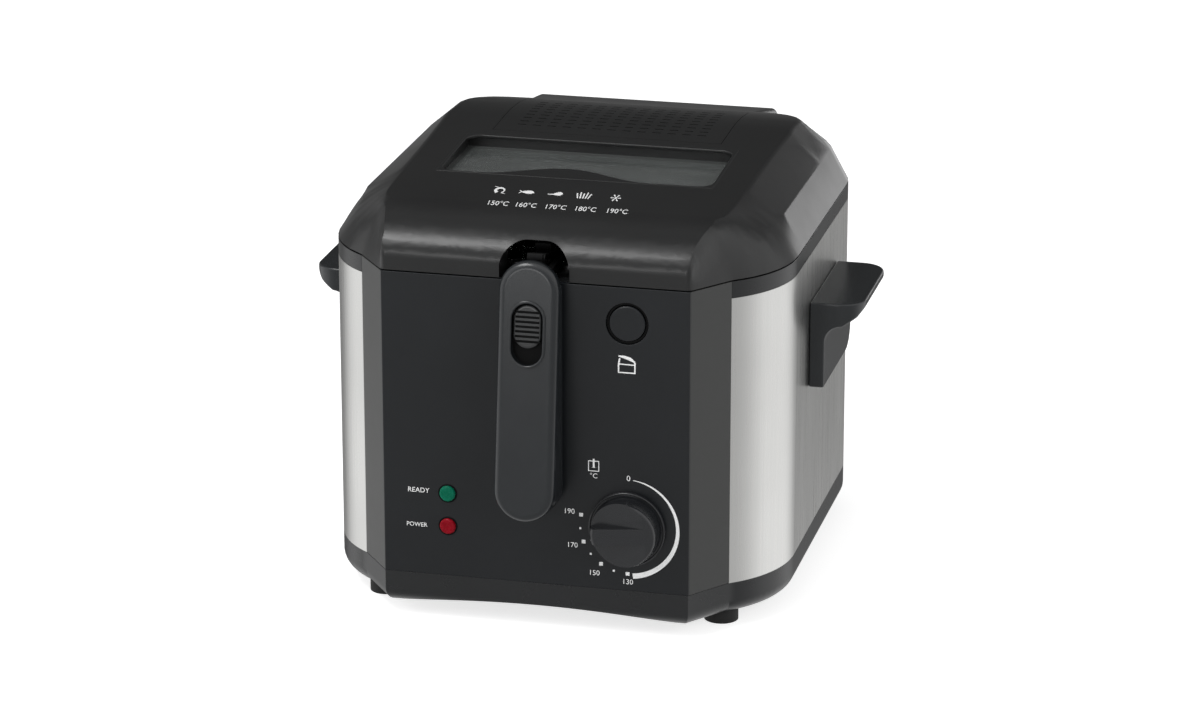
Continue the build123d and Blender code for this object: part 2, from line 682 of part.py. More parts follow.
def grip_pocket(clearance):
    """Outline of the hollow in the grip's back, drawn in by a clearance."""
    with BuildSketch(grip_plane(grip_front + GRIP_WALL)) as outline:
        with Locations((0, (pocket_low + pocket_high) / 2)):
            SlotOverall(pocket_high - pocket_low - 2 * clearance, pocket_w - 2 * clearance, rotation=90)
    return outline.sketch


with BuildPart() as handle_grip:
    with BuildSketch(grip_plane(grip_front)):
        with Locations((0, grip_mid)):
            SlotOverall(grip_l, GRIP_W, rotation=90)
    extrude(amount=-GRIP_DEEP)
    flats = handle_grip.faces().filter_by(grip_plane(grip_front)).sort_by(Axis.Y)
    fillet(flats[0].edges(), GRIP_ROUND)
    split(bisect_by=front_plane(grip_back), keep=Keep.TOP)
    fillet(handle_grip.faces().sort_by(Axis.Y)[-1].edges(), GRIP_BACK_ROUND)
    extrude(grip_pocket(0.0), amount=-GRIP_DEEP, mode=Mode.SUBTRACT)
    with BuildSketch(grip_plane(grip_front)):
        with Locations((0, recess_mid)):
            SlotOverall(recess_l, SLIDER_W + 2 * RECESS_MARGIN, rotation=90)
    extrude(amount=-RECESS_T, mode=Mode.SUBTRACT)
save(handle_grip, "handle_grip")

with BuildPart() as handle_back_cover:
    extrude(grip_pocket(FIT), amount=-GRIP_DEEP)
    split(bisect_by=front_plane(grip_back), keep=Keep.TOP)
    split(bisect_by=front_plane(grip_back - COVER_T), keep=Keep.BOTTOM)
save(handle_back_cover, "handle_back_cover")

with BuildPart() as handle_slider:
    with BuildSketch(grip_plane(grip_front + RECESS_T)):
        with Locations((0, slider_mid)):
            SlotOverall(SLIDER_L, SLIDER_W, rotation=90)
    extrude(amount=SLIDER_T)
    flats = handle_slider.faces().filter_by(grip_plane(grip_front)).sort_by(Axis.Y)
    fillet(flats[0].edges(), SLIDER_ROUND)
    with BuildSketch(grip_plane(grip_front + RECESS_T - SLIDER_T)):
        with Locations((0, slider_mid)):
            with GridLocations(0, RIB_PITCH, 1, SLIDER_RIBS):
                Rectangle(RIB_L, RIB_W)
    extrude(amount=-RIB_T, mode=Mode.SUBTRACT)
save(handle_slider, "handle_slider")


# Lift gear: the handle's toothed sector turns the lift arm the other way
def add_tooth(teeth, angle):
    """One involute tooth of a gear about the sketch's zero, pointing at an angle in degrees."""
    pitch_r = TOOTH_MODULE * teeth / 2
    base_r = pitch_r * cos(radians(PRESSURE_ANGLE))
    tip_r = pitch_r + ADDENDUM * TOOTH_MODULE
    core_r = pitch_r - 2 * DEDENDUM * TOOTH_MODULE

    def involute(pressure):
        return tan(pressure) - pressure

    def flank(r, side):
        half = pi / (2 * teeth) - BACKLASH / (2 * pitch_r)
        half += involute(radians(PRESSURE_ANGLE)) - involute(acos(base_r / r))
        turn = radians(angle) + side * half
        return (r * cos(turn), r * sin(turn))

    radii = [base_r + (tip_r - base_r) * step / FLANK_STEPS for step in range(FLANK_STEPS + 1)]
    right = [flank(r, -1) for r in radii]
    left = [flank(r, 1) for r in reversed(radii)]
    shrink = core_r / base_r
    foot_left = (left[-1][0] * shrink, left[-1][1] * shrink)
    foot_right = (right[0][0] * shrink, right[0][1] * shrink)
    with BuildLine() as tooth:
        Spline(*right)
        Line(right[-1], left[0])
        Spline(*left)
        Polyline(left[-1], foot_left, foot_right, right[0])
    make_face(tooth.edges())


def add_sector(teeth, angles):
    """A toothed sector's root disc between its first and last tooth, with the teeth."""
    half_pitch = 180 / teeth
    root_r = TOOTH_MODULE * teeth / 2 - DEDENDUM * TOOTH_MODULE
    start = min(angles) - half_pitch
    sweep_angle = max(angles) - min(angles) + 2 * half_pitch
    with BuildLine() as root:
        rim = CenterArc((0, 0), root_r, start, sweep_angle)
        Line((0, 0), rim @ 0)
        Line((0, 0), rim @ 1)
    make_face(root.edges())
    for angle in angles:
        add_tooth(teeth, angle)


arm_y = pivot_y + TOOTH_MODULE * (DRIVE_TEETH + ARM_TEETH) / 2
drive_step = 360 / DRIVE_TEETH
arm_step = 360 / ARM_TEETH
drive_angles = [drive_step * step for step in range(-1, 4)]
arm_angles = [180 + arm_step * (step - 0.5) for step in range(-4, 3)]
tip_y = ARM_REACH * cos(radians(ARM_SWING / 2))
tip_z = -ARM_REACH * sin(radians(ARM_SWING / 2))

with BuildPart() as handle_knuckle:
    with BuildSketch(side_plane(0, pivot_y, pivot_z)):
        add_sector(DRIVE_TEETH, drive_angles)
        Circle(HUB_R)
        with BuildLine():
            Polyline((0, HUB_R), (0, -HUB_R), (grip_back - PIVOT_DEPTH, -HUB_R),
                     (grip_back - PIVOT_DEPTH, HUB_R), close=True)
        make_face()
        Circle(PIN_R + RUN, mode=Mode.SUBTRACT)
    extrude(amount=SECTOR_T / 2, both=True)
save(handle_knuckle, "handle_knuckle")

with BuildPart() as lift_arm:
    with BuildSketch(side_plane(0, arm_y, pivot_z)):
        add_sector(ARM_TEETH, arm_angles)
        with BuildLine():
            Polyline((0, 0), (ELBOW_Y, ELBOW_Z), (tip_y, tip_z))
        trace(line_width=ARM_W)
        Circle(HUB_R)
        with Locations((ELBOW_Y, ELBOW_Z)):
            Circle(ARM_W / 2)
        with Locations((tip_y, tip_z)):
            Circle(PIN_R + ARM_EYE)
            Circle(PIN_R + FIT, mode=Mode.SUBTRACT)
        Circle(PIN_R + RUN, mode=Mode.SUBTRACT)
    extrude(amount=SECTOR_T / 2, both=True)
save(lift_arm, "lift_arm")

with BuildPart() as lift_cross_pin:
    extrude(discs(side_plane(0, arm_y + tip_y, pivot_z + tip_z), PIN_R), amount=CROSS_PIN_HALF, both=True)
save(lift_cross_pin, "lift_cross_pin")

cheek_in = SECTOR_T / 2 + CHEEK_GAP
cheek_out = cheek_in + CHEEK_T
housing_back = FRONT_Y + BOWL_FRONT - FLANGE_W - 2 * GAP
housing_low = LID_Z - CHEEK_DROP
ear_screw_x = cheek_out + HOUSING_EAR / 2
ear_spots = [(side * ear_screw_x, FRONT_Y + (HOUSING_EAR_FRONT + HOUSING_EAR_REAR) / 2) for side in (-1, 1)]

with BuildPart() as lift_housing:
    with BuildSketch(Plane.YZ):
        with BuildLine():
            Polyline((FRONT_Y + PANEL_T + GAP, pivot_z), (FRONT_Y + PANEL_T + GAP, housing_low),
                     (housing_back, housing_low), (housing_back, pivot_z + CHEEK_R),
                     (pivot_y, pivot_z + CHEEK_R), close=True)
        make_face()
        with Locations((pivot_y, pivot_z)):
            Circle(CHEEK_R)
        with Locations((pivot_y, pivot_z), (arm_y, pivot_z)):
            Circle(PIN_R + FIT, mode=Mode.SUBTRACT)
    extrude(amount=cheek_out, both=True)
    with BuildSketch(Plane.YZ):
        with Locations((FRONT_Y, housing_low + HOUSING_PLATE)):
            Rectangle(BODY_DEPTH, PANEL_H, align=(Align.CENTER, Align.MIN))
    extrude(amount=cheek_in, both=True, mode=Mode.SUBTRACT)
    for side in (-1, 1):
        with BuildSketch(Plane.XY.offset(RIM_Z)):
            with Locations((side * ear_screw_x, ear_spots[0][1])):
                Rectangle(HOUSING_EAR, HOUSING_EAR_REAR - HOUSING_EAR_FRONT)
        extrude(amount=HOUSING_PLATE)
    extrude(discs(Plane.XY.offset(RIM_Z), SCREW_R + FIT, ear_spots), amount=HOUSING_PLATE, mode=Mode.SUBTRACT)
save(lift_housing, "lift_housing")

with BuildPart() as housing_screws:
    extrude(discs(Plane.XY.offset(RIM_Z + HOUSING_PLATE), SCREW_HEAD_R, ear_spots), amount=SCREW_HEAD_H)
    extrude(discs(Plane.XY.offset(RIM_Z), SCREW_R, ear_spots), amount=HOUSING_PLATE)
save(housing_screws, "housing_screws")

for name, pin_y in (("handle_pivot_pin", pivot_y), ("lift_arm_pin", arm_y)):
    with BuildPart() as pivot_pin:
        extrude(discs(side_plane(0, pin_y, pivot_z), PIN_R), amount=cheek_out, both=True)
    save(pivot_pin, name)

# Basket: five flat nets, a rim and the bracket that the lift arm's pin bears under
basket_y0 = FRONT_Y + BASKET_FRONT
basket_y1 = REAR_Y - BASKET_REAR
basket_top = LID_Z - BASKET_DROP
basket_low = bowl_base_z + BASKET_RISE
basket_h = basket_top - RIM_WIRE - basket_low
basket_mid_y = (basket_y0 + basket_y1) / 2


def flat_net(plane, width, height):
    """A flat net about the plane's zero: a solid border with a grid of square gaps."""
    gap = MESH_PITCH - MESH_WIRE
    across = int((width - 2 * MESH_WIRE) // MESH_PITCH)
    up = int((height - 2 * MESH_WIRE) // MESH_PITCH)
    with BuildSketch(plane) as net:
        Rectangle(width, height)
        with GridLocations(MESH_PITCH, MESH_PITCH, across, up):
            Rectangle(gap, gap, mode=Mode.SUBTRACT)
    return net.sketch


side_len = basket_y1 - basket_y0
wall_mid_z = (basket_low + basket_top - RIM_WIRE) / 2
for name, wall_y in (("basket_front", basket_y0), ("basket_rear", basket_y1 - MESH_T)):
    with BuildPart() as basket_end:
        end_plane = Plane(origin=(0, wall_y, wall_mid_z), x_dir=(1, 0, 0), z_dir=(0, -1, 0))
        extrude(flat_net(end_plane, 2 * BASKET_HALF, basket_h), amount=-MESH_T)
    save(basket_end, name)

for name, wall_x in (("basket_left", -BASKET_HALF), ("basket_right", BASKET_HALF - MESH_T)):
    with BuildPart() as basket_side:
        wall_plane = side_plane(wall_x, basket_mid_y, wall_mid_z)
        extrude(flat_net(wall_plane, side_len - 2 * MESH_T, basket_h), amount=MESH_T)
    save(basket_side, name)

with BuildPart() as basket_floor:
    floor_plane = Plane(origin=(0, basket_mid_y, basket_low))
    extrude(flat_net(floor_plane, 2 * (BASKET_HALF - MESH_T), side_len - 2 * MESH_T), amount=MESH_T)
save(basket_floor, "basket_floor")

with BuildPart() as basket_rim:
    extrude(box_plan(basket_top - RIM_WIRE, BASKET_HALF, basket_y0, basket_y1), amount=RIM_WIRE)
    extrude(box_plan(basket_top - RIM_WIRE, BASKET_HALF - RIM_WIRE, basket_y0 + RIM_WIRE,
                     basket_y1 - RIM_WIRE),
            amount=RIM_WIRE, mode=Mode.SUBTRACT)
    fillet(basket_rim.edges().filter_by(Axis.Z, reverse=True), RIM_ROUND)
save(basket_rim, "basket_rim")

tab_z = pivot_z + tip_z + PIN_R + LIFT_GAP
with BuildPart() as basket_bracket:
    with BuildSketch(front_plane(BASKET_FRONT)):
        with BuildLine():
            Polyline((-TAB_OUT, basket_low + basket_h / 2), (TAB_OUT, basket_low + basket_h / 2),
                     (TAB_OUT, tab_z + TAB_T), (-TAB_OUT, tab_z + TAB_T), close=True)
        make_face()
    extrude(amount=TAB_T)
    with BuildSketch(Plane.XY.offset(tab_z)):
        with Locations((0, (FRONT_Y + TAB_FRONT + basket_y0) / 2)):
            Rectangle(2 * TAB_OUT, BASKET_FRONT - TAB_FRONT)
    extrude(amount=TAB_T)
    with BuildSketch(Plane.XY.offset(tab_z)):
        with Locations((0, FRONT_Y + TAB_FRONT)):
            Rectangle(2 * TAB_IN, 2 * (BASKET_FRONT - TAB_FRONT - 2 * TAB_T))
    extrude(amount=TAB_T, mode=Mode.SUBTRACT)
save(basket_bracket, "basket_bracket")


# Lid: a crowned shell, drawn as rings that close in towards the top, cut by its side profile
def lid_profile(inset):
    """Side profile of the lid: upright nose, round front, long crown and falling tail."""
    low = LID_Z - (LID_T if inset > 0 else 0.0)
    front = FRONT_Y + inset
    rear = REAR_Y - inset
    nose = (front, LID_Z + NOSE_STEP)
    brow = (FRONT_Y + NOSE_BACK, LID_Z + NOSE_TOP - inset)
    crown = (FRONT_Y + CROWN_BACK, LID_Z + CROWN_TOP - inset)
    tail = (rear, LID_Z + TAIL_TOP - inset)
    with BuildSketch(Plane.YZ) as profile:
        with BuildLine():
            Line((front, low), nose)
            Bezier(nose, (front, nose[1] + NOSE_ROUND * (brow[1] - nose[1])),
                   (brow[0] - NOSE_ROUND * (brow[0] - front), brow[1] - NOSE_RISE), brow)
            Line(brow, crown)
            TangentArc(crown, tail, tangent=(crown[0] - brow[0], crown[1] - brow[1]))
            Polyline(tail, (rear, low), (front, low))
        make_face()
    return profile.sketch


def seam_half(depth):
    """Half width of the body's outline at a depth behind the front panel."""
    if depth <= CHAMFER_Y:
        return PANEL_HALF + CHAMFER_X * depth / CHAMFER_Y
    if depth <= SHOULDER_Y:
        run = SHOULDER_Y - CHAMFER_Y
        radius = (SHOULDER_X**2 + run**2) / (2 * SHOULDER_X)
        return BODY_HALF - radius + sqrt(radius**2 - (SHOULDER_Y - depth)**2)
    into_corner = max(0.0, depth - BODY_DEPTH + REAR_CORNER_R)
    return BODY_HALF - REAR_CORNER_R + sqrt(REAR_CORNER_R**2 - into_corner**2)


def crown_half(depth):
    """Half width of the lid's top face at a depth."""
    if depth <= CROWN_SHOULDER_Y:
        share = depth / CROWN_SHOULDER_Y
        return PANEL_HALF + share * (BODY_HALF - CROWN_SHOULDER_IN - PANEL_HALF)
    if depth <= CROWN_BACK:
        share = (depth - CROWN_SHOULDER_Y) / (CROWN_BACK - CROWN_SHOULDER_Y)
        return BODY_HALF - CROWN_SHOULDER_IN + share * (CROWN_SHOULDER_IN - CROWN_IN)
    return seam_half(depth) - CROWN_IN


def crown_rise(depth):
    """Height of the lid's top face over the seam at a depth."""
    if depth <= NOSE_BACK:
        return NOSE_STEP + (NOSE_TOP - NOSE_STEP) * sqrt(1 - (1 - depth / NOSE_BACK)**2)
    if depth <= CROWN_BACK:
        return NOSE_TOP + (CROWN_TOP - NOSE_TOP) * (depth - NOSE_BACK) / (CROWN_BACK - NOSE_BACK)
    return CROWN_TOP - (CROWN_TOP - TAIL_TOP) * ((depth - CROWN_BACK) / (BODY_DEPTH - CROWN_BACK))**2


def lid_section(depth, inset):
    """Cross-section of the lid at a depth: seam, side edge and the slope that leads up to its top face."""
    share = min(1.0, max(depth, EDGE_START) / SHOULDER_Y)
    low = -LID_T if inset > 0 else 0.0
    seam_x = seam_half(depth) - inset
    edge = Vector(seam_half(depth) - EDGE_IN * share - inset, LID_EDGE_H * share - inset / 2)
    crown = Vector(crown_half(depth) - inset, crown_rise(depth) - inset / 2)
    peak = edge + (crown - edge) * ((CROWN_REACH - edge.Y) / (crown.Y - edge.Y))
    plane = Plane(origin=(0, FRONT_Y + depth, LID_Z), x_dir=(1, 0, 0), z_dir=(0, -1, 0))
    with BuildSketch(plane) as section:
        with BuildLine():
            Polyline((-seam_x, low), (seam_x, low), edge, peak,
                     (-peak.X, peak.Y), (-edge.X, edge.Y), close=True)
        make_face()
    return section.sketch.face()


def lid_form(inset):
    """The lid's solid form, drawn in by a wall."""
    corner_run = SHOULDER_Y - CHAMFER_Y
    rear_start = BODY_DEPTH - REAR_CORNER_R
    front_depths = [CHAMFER_Y * step / LID_STEPS for step in range(LID_STEPS + 1)]
    shoulder_depths = [CHAMFER_Y + corner_run * step / LID_STEPS for step in range(LID_STEPS + 1)]
    rear_turns = [pi / 2 * step / LID_STEPS for step in range(LID_STEPS + 1)]
    rear_depths = [rear_start + REAR_CORNER_R * sin(turn) for turn in rear_turns]
    side_depths = [SHOULDER_Y, CROWN_BACK, rear_start]
    with BuildPart() as form:
        for depths in (front_depths, shoulder_depths, side_depths, rear_depths):
            loft(sections=[lid_section(depth, inset) for depth in depths], ruled=True)
        extrude(lid_profile(inset), amount=BODY_HALF, both=True, mode=Mode.INTERSECT)
    return form.part


lid_outside = lid_form(0.0)
lid_inside = lid_form(LID_T)
lid_vent_bed = lid_outside.moved(Location((0, 0, -VENT_T)))
lid_vent_pad = lid_outside.moved(Location((0, 0, -VENT_T - LID_T)))

window_y0 = FRONT_Y + WINDOW_FRONT
window_y1 = FRONT_Y + WINDOW_BACK
vent_y0 = FRONT_Y + VENT_FRONT
vent_y1 = FRONT_Y + VENT_BACK
seat_z = LID_Z + WINDOW_SEAT
inner_z = LID_Z + INNER_Z
cap_z = LID_Z + LID_CAP_H
boss_spots = [(side * BOSS_X, FRONT_Y + y) for side in (-1, 1) for y in (BOSS_FRONT, BOSS_BACK)]

# Lid insides, each cut to the lid's form: sealing rim, window well, vent bed and screw bosses
with BuildPart() as lid_rim:
    extrude(body_plan(LID_Z + RIM_LOW), amount=RIM_T)
    extrude(body_plan(LID_Z + RIM_LOW, RIM_IN), amount=RIM_T, mode=Mode.SUBTRACT)
    extrude(box_plan(LID_Z + RIM_LOW, FRONT_CLEAR, FRONT_Y, bowl_y0), amount=RIM_T, mode=Mode.SUBTRACT)
    add(lid_outside, mode=Mode.INTERSECT)

with BuildPart() as lid_well:
    extrude(box_plan(seat_z - LID_T, WINDOW_HALF + LID_T, window_y0 - LID_T, window_y1 + LID_T),
            amount=cap_z - seat_z + LID_T)
    add(lid_outside, mode=Mode.INTERSECT)

with BuildPart() as lid_vent:
    extrude(box_plan(LID_Z, VENT_HALF + LID_T, vent_y0 - LID_T, vent_y1 + LID_T), amount=LID_CAP_H)
    add(lid_outside, mode=Mode.INTERSECT)
    add(lid_vent_pad, mode=Mode.SUBTRACT)

with BuildPart() as lid_bosses:
    extrude(discs(Plane.XY.offset(inner_z + INNER_T), BOSS_R, boss_spots), amount=LID_CAP_H)
    add(lid_outside, mode=Mode.INTERSECT)

with BuildPart() as vent_recess:
    extrude(box_plan(LID_Z, VENT_HALF + GAP, vent_y0 - GAP, vent_y1 + GAP), amount=2 * LID_CAP_H)
    add(lid_vent_bed, mode=Mode.SUBTRACT)


# Hump over the hinge, behind the lid
def hump_form(inset, start_y):
    """The hump's solid form, drawn in by a wall, from a Y value to its rear."""
    back = REAR_Y + HUMP_REACH - inset
    low = LID_Z + HUMP_LOW - (LID_T if inset > 0 else 0.0)
    slope = (HUMP_TOP - TAIL_TOP) / HUMP_REACH
    top = LID_Z + TAIL_TOP - inset
    spread = HUMP_SPREAD / (HUMP_TOP - HUMP_LOW)
    half_low = HUMP_HALF + HUMP_SPREAD - inset
    half_high = half_low - spread * LID_CAP_H
    with BuildSketch(Plane.YZ) as profile:
        with BuildLine():
            Polyline((start_y, low), (back, low), (back, top + slope * (back - REAR_Y)),
                     (start_y, top + slope * (start_y - REAR_Y)), close=True)
        make_face()
    with BuildSketch(Plane.XZ) as outline:
        with BuildLine():
            Polyline((-half_low, low), (half_low, low), (half_high, low + LID_CAP_H),
                     (-half_high, low + LID_CAP_H), close=True)
        make_face()
    with BuildPart() as form:
        extrude(profile.sketch, amount=BODY_HALF, both=True)
        extrude(outline.sketch, amount=BODY_DEPTH, both=True, mode=Mode.INTERSECT)
    return form.part


hump_outside = hump_form(0.0, REAR_Y - HUMP_START)
hump_inside = hump_form(LID_T, REAR_Y)

with BuildPart() as lid_hump:
    add(hump_outside)
    add(lid_inside, mode=Mode.SUBTRACT)
    add(hump_inside, mode=Mode.SUBTRACT)

with BuildPart() as lid_hood:
    with BuildSketch(front_plane(HOOD_DEPTH)):
        with Locations((0, LID_Z)):
            RectangleRounded(2 * (ARCH_W + LID_T), 2 * (ARCH_TOP + LID_T), ARCH_R + LID_T)
    extrude(amount=HOOD_DEPTH)
    add(lid_outside, mode=Mode.INTERSECT)

with BuildPart() as lid_shell:
    add(lid_outside)
    add(lid_inside, mode=Mode.SUBTRACT)
    for inner_part in (lid_rim, lid_well, lid_vent, lid_bosses, lid_hump, lid_hood):
        add(inner_part.part)
    with BuildSketch(side_plane(0, hinge_y, hinge_z)):
        Circle(HINGE_R)
        with BuildLine():
            Polyline((0, HINGE_R), (0, -HINGE_RISE), (-HINGE_BACK - LID_T, -HINGE_RISE),
                     (-HINGE_BACK - LID_T, HINGE_R), close=True)
        make_face()
    extrude(amount=KNUCKLE_HALF, both=True)
    extrude(discs(side_plane(0, hinge_y, hinge_z), PIN_R + RUN), amount=KNUCKLE_HALF, both=True,
            mode=Mode.SUBTRACT)
    with BuildSketch(front_plane(HOOD_DEPTH)):
        with Locations((0, LID_Z)):
            RectangleRounded(2 * ARCH_W, 2 * ARCH_TOP, ARCH_R)
    extrude(amount=2 * HOOD_DEPTH, mode=Mode.SUBTRACT)
    extrude(box_plan(seat_z, WINDOW_HALF, window_y0, window_y1), amount=LID_CAP_H, mode=Mode.SUBTRACT)
    extrude(box_plan(LID_Z + RIM_LOW + RIM_T, WINDOW_HALF - WINDOW_LEDGE, window_y0 + WINDOW_LEDGE,
                     window_y1 - WINDOW_LEDGE), amount=LID_CAP_H, mode=Mode.SUBTRACT)
    add(vent_recess.part, mode=Mode.SUBTRACT)
    extrude(box_plan(inner_z, VENT_HALF - VENT_LEDGE, vent_y0 + VENT_LEDGE, vent_y1 - VENT_LEDGE),
            amount=LID_CAP_H, mode=Mode.SUBTRACT)
    extrude(discs(Plane.XY.offset(inner_z), SCREW_R + FIT, boss_spots), amount=SCREW_L - INNER_T,
            mode=Mode.SUBTRACT)
save(lid_shell, "lid_shell")

with BuildPart() as filter_cover:
    extrude(box_plan(LID_Z, VENT_HALF, vent_y0, vent_y1), amount=LID_CAP_H)
    add(lid_outside, mode=Mode.INTERSECT)
    add(lid_vent_bed, mode=Mode.SUBTRACT)
    slot_x = 2 * (VENT_HALF - VENT_LEDGE) / VENT_SLOTS
    slot_y = (vent_y1 - vent_y0 - 2 * VENT_LEDGE) / VENT_ROWS
    with BuildSketch(Plane.XY.offset(LID_Z)):
        with Locations((0, (vent_y0 + vent_y1) / 2)):
            with GridLocations(slot_x, slot_y, VENT_SLOTS, VENT_ROWS):
                SlotOverall(VENT_SLOT_L, VENT_SLOT_W)
    extrude(amount=LID_CAP_H, mode=Mode.SUBTRACT)
save(filter_cover, "filter_cover")

with BuildPart() as filter_pad:
    pad_half = VENT_HALF - VENT_LEDGE - GAP
    extrude(box_plan(inner_z + INNER_T, pad_half, vent_y0 + VENT_LEDGE + GAP, vent_y1 - VENT_LEDGE - GAP),
            amount=PAD_T)
save(filter_pad, "filter_pad")

with BuildPart() as window_gasket:
    extrude(box_plan(seat_z, WINDOW_HALF - GAP, window_y0 + GAP, window_y1 - GAP), amount=GASKET_T)
    extrude(box_plan(seat_z, WINDOW_HALF - WINDOW_LEDGE, window_y0 + WINDOW_LEDGE, window_y1 - WINDOW_LEDGE),
            amount=GASKET_T, mode=Mode.SUBTRACT)
save(window_gasket, "window_gasket")

with BuildPart() as lid_window:
    extrude(box_plan(seat_z + GASKET_T, WINDOW_HALF - GAP, window_y0 + GAP, window_y1 - GAP), amount=GLASS_T)
save(lid_window, "lid_window")

with BuildPart() as lid_inner_plate:
    extrude(box_plan(inner_z, INNER_HALF, FRONT_Y + INNER_FRONT, FRONT_Y + INNER_BACK, INNER_CORNER_R),
            amount=INNER_T)
    extrude(box_plan(inner_z, WINDOW_HALF - WINDOW_LEDGE, window_y0 + WINDOW_LEDGE, window_y1 - WINDOW_LEDGE),
            amount=INNER_T, mode=Mode.SUBTRACT)
    with BuildSketch(Plane.XY.offset(inner_z)):
        with Locations((0, (vent_y0 + vent_y1) / 2)):
            with GridLocations(slot_x, slot_y, VENT_SLOTS, VENT_ROWS):
                Circle(VENT_SLOT_W)
        with Locations(*boss_spots):
            Circle(SCREW_R + FIT)
    extrude(amount=INNER_T, mode=Mode.SUBTRACT)
save(lid_inner_plate, "lid_inner_plate")

with BuildPart() as lid_screws:
    extrude(discs(Plane.XY.offset(inner_z), SCREW_HEAD_R, boss_spots), amount=-SCREW_HEAD_H)
    extrude(discs(Plane.XY.offset(inner_z), SCREW_R, boss_spots), amount=SCREW_L - 2 * INNER_T)
save(lid_screws, "lid_screws")

with BuildPart() as lid_seal:
    seal_z = RIM_Z + GAP
    seal_h = LID_Z + RIM_LOW - seal_z
    extrude(body_plan(seal_z, SEAL_OUT), amount=seal_h)
    extrude(body_plan(seal_z, SEAL_OUT + SEAL_W), amount=seal_h, mode=Mode.SUBTRACT)
    extrude(box_plan(seal_z, FRONT_CLEAR, FRONT_Y, bowl_y0), amount=seal_h, mode=Mode.SUBTRACT)
save(lid_seal, "lid_seal")

with BuildPart() as lid_latch_hook:
    with BuildSketch(side_plane(BUTTON_X, FRONT_Y, LID_Z)):
        hook_in = hook_y - FRONT_Y
        with BuildLine():
            Polyline((RIM_IN, RIM_LOW), (hook_in, RIM_LOW), (hook_in, -HOOK_DROP),
                     (hook_in + HOOK_T, -HOOK_DROP), (hook_in + HOOK_T, RIM_LOW + RIM_T),
                     (RIM_IN, RIM_LOW + RIM_T), close=True)
        make_face()
    extrude(amount=LATCH_HALF - HOOK_GAP, both=True)
save(lid_latch_hook, "lid_latch_hook")
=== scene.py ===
"""Deep fryer: finishes, prints, wire basket, soft edges and the studio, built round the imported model."""
import json
from math import cos, pi, radians, sin

import bmesh
import bpy
from mathutils import Matrix, Vector
from mathutils.bvhtree import BVHTree


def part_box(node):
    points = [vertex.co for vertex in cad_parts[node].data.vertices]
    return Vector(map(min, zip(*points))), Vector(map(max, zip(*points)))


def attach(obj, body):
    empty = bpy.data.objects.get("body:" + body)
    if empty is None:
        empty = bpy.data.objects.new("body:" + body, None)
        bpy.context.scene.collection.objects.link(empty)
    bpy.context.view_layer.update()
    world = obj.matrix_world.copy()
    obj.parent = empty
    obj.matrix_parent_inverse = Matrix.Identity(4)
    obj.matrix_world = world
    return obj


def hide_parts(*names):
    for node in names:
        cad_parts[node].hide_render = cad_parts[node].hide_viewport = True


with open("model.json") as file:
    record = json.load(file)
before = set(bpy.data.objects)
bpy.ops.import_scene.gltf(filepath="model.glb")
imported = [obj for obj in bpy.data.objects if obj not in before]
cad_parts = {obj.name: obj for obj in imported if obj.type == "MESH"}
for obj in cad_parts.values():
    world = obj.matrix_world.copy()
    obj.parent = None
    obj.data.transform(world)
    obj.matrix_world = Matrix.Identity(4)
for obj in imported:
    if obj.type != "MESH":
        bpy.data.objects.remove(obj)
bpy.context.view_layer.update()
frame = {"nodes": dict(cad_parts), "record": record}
nodes = frame["nodes"]

# Named lengths are in millimetres, unless a comment says otherwise
MM = 0.001

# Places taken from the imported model
record = frame["record"]
joint_of = {joint["name"]: joint for joint in record["behaviour"]["joints"]}
body_of = {node: body for body, members in record["behaviour"]["bodies"].items() for node in members}
slot_of = {entry["node"]: entry["material_slot"] for entry in record["subparts"]}
front_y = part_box("front_panel")[0].y


def middle(node):
    low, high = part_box(node)
    return (low + high) / 2


# Finishes; noise lies mostly between its low and its high value, and depths are in metres
NOISE_LOW = 0.3
NOISE_HIGH = 0.7
PLASTIC_SWING = 0.12
PLASTIC_HAZE = 0.015
GRAIN_SCALE = 1700.0
GRAIN = 0.25
GRAIN_DEPTH = 0.00006
BRUSH_SWING = 0.05
BRUSH_RELIEF = 0.1
BRUSH_DEPTH = 0.00002
MATTE_HAZE = 0.06
MATTE_SPECULAR = 0.3
MATTE_RELIEF = 0.5
LENS_SPECULAR = 0.12
PANE_CLEAR = 0.85
PANE_IOR = 1.5


def blank_material(name):
    """A node material with its shader and the object's own coordinates."""
    material = bpy.data.materials.new(name)
    material.use_nodes = True
    tree = material.node_tree
    shader = tree.nodes["Principled BSDF"]
    coords = tree.nodes.new("ShaderNodeTexCoord").outputs["Object"]
    return material, tree, shader, coords


def noise(tree, coords, scale, detail=3.0, stretch=None):
    """Noise value over the object; stretch squeezes it along the axes."""
    if stretch:
        mapping = tree.nodes.new("ShaderNodeMapping")
        mapping.inputs["Scale"].default_value = stretch
        tree.links.new(coords, mapping.inputs["Vector"])
        coords = mapping.outputs["Vector"]
    texture = tree.nodes.new("ShaderNodeTexNoise")
    texture.inputs["Scale"].default_value = scale
    texture.inputs["Detail"].default_value = detail
    tree.links.new(coords, texture.inputs["Vector"])
    return texture.outputs["Fac"]


def vary_roughness(tree, shader, value, low, high):
    """Lets a noise value carry the roughness through a range."""
    ranged = tree.nodes.new("ShaderNodeMapRange")
    ranged.inputs["From Min"].default_value = NOISE_LOW
    ranged.inputs["From Max"].default_value = NOISE_HIGH
    ranged.inputs["To Min"].default_value = low
    ranged.inputs["To Max"].default_value = high
    tree.links.new(value, ranged.inputs["Value"])
    tree.links.new(ranged.outputs["Result"], shader.inputs["Roughness"])


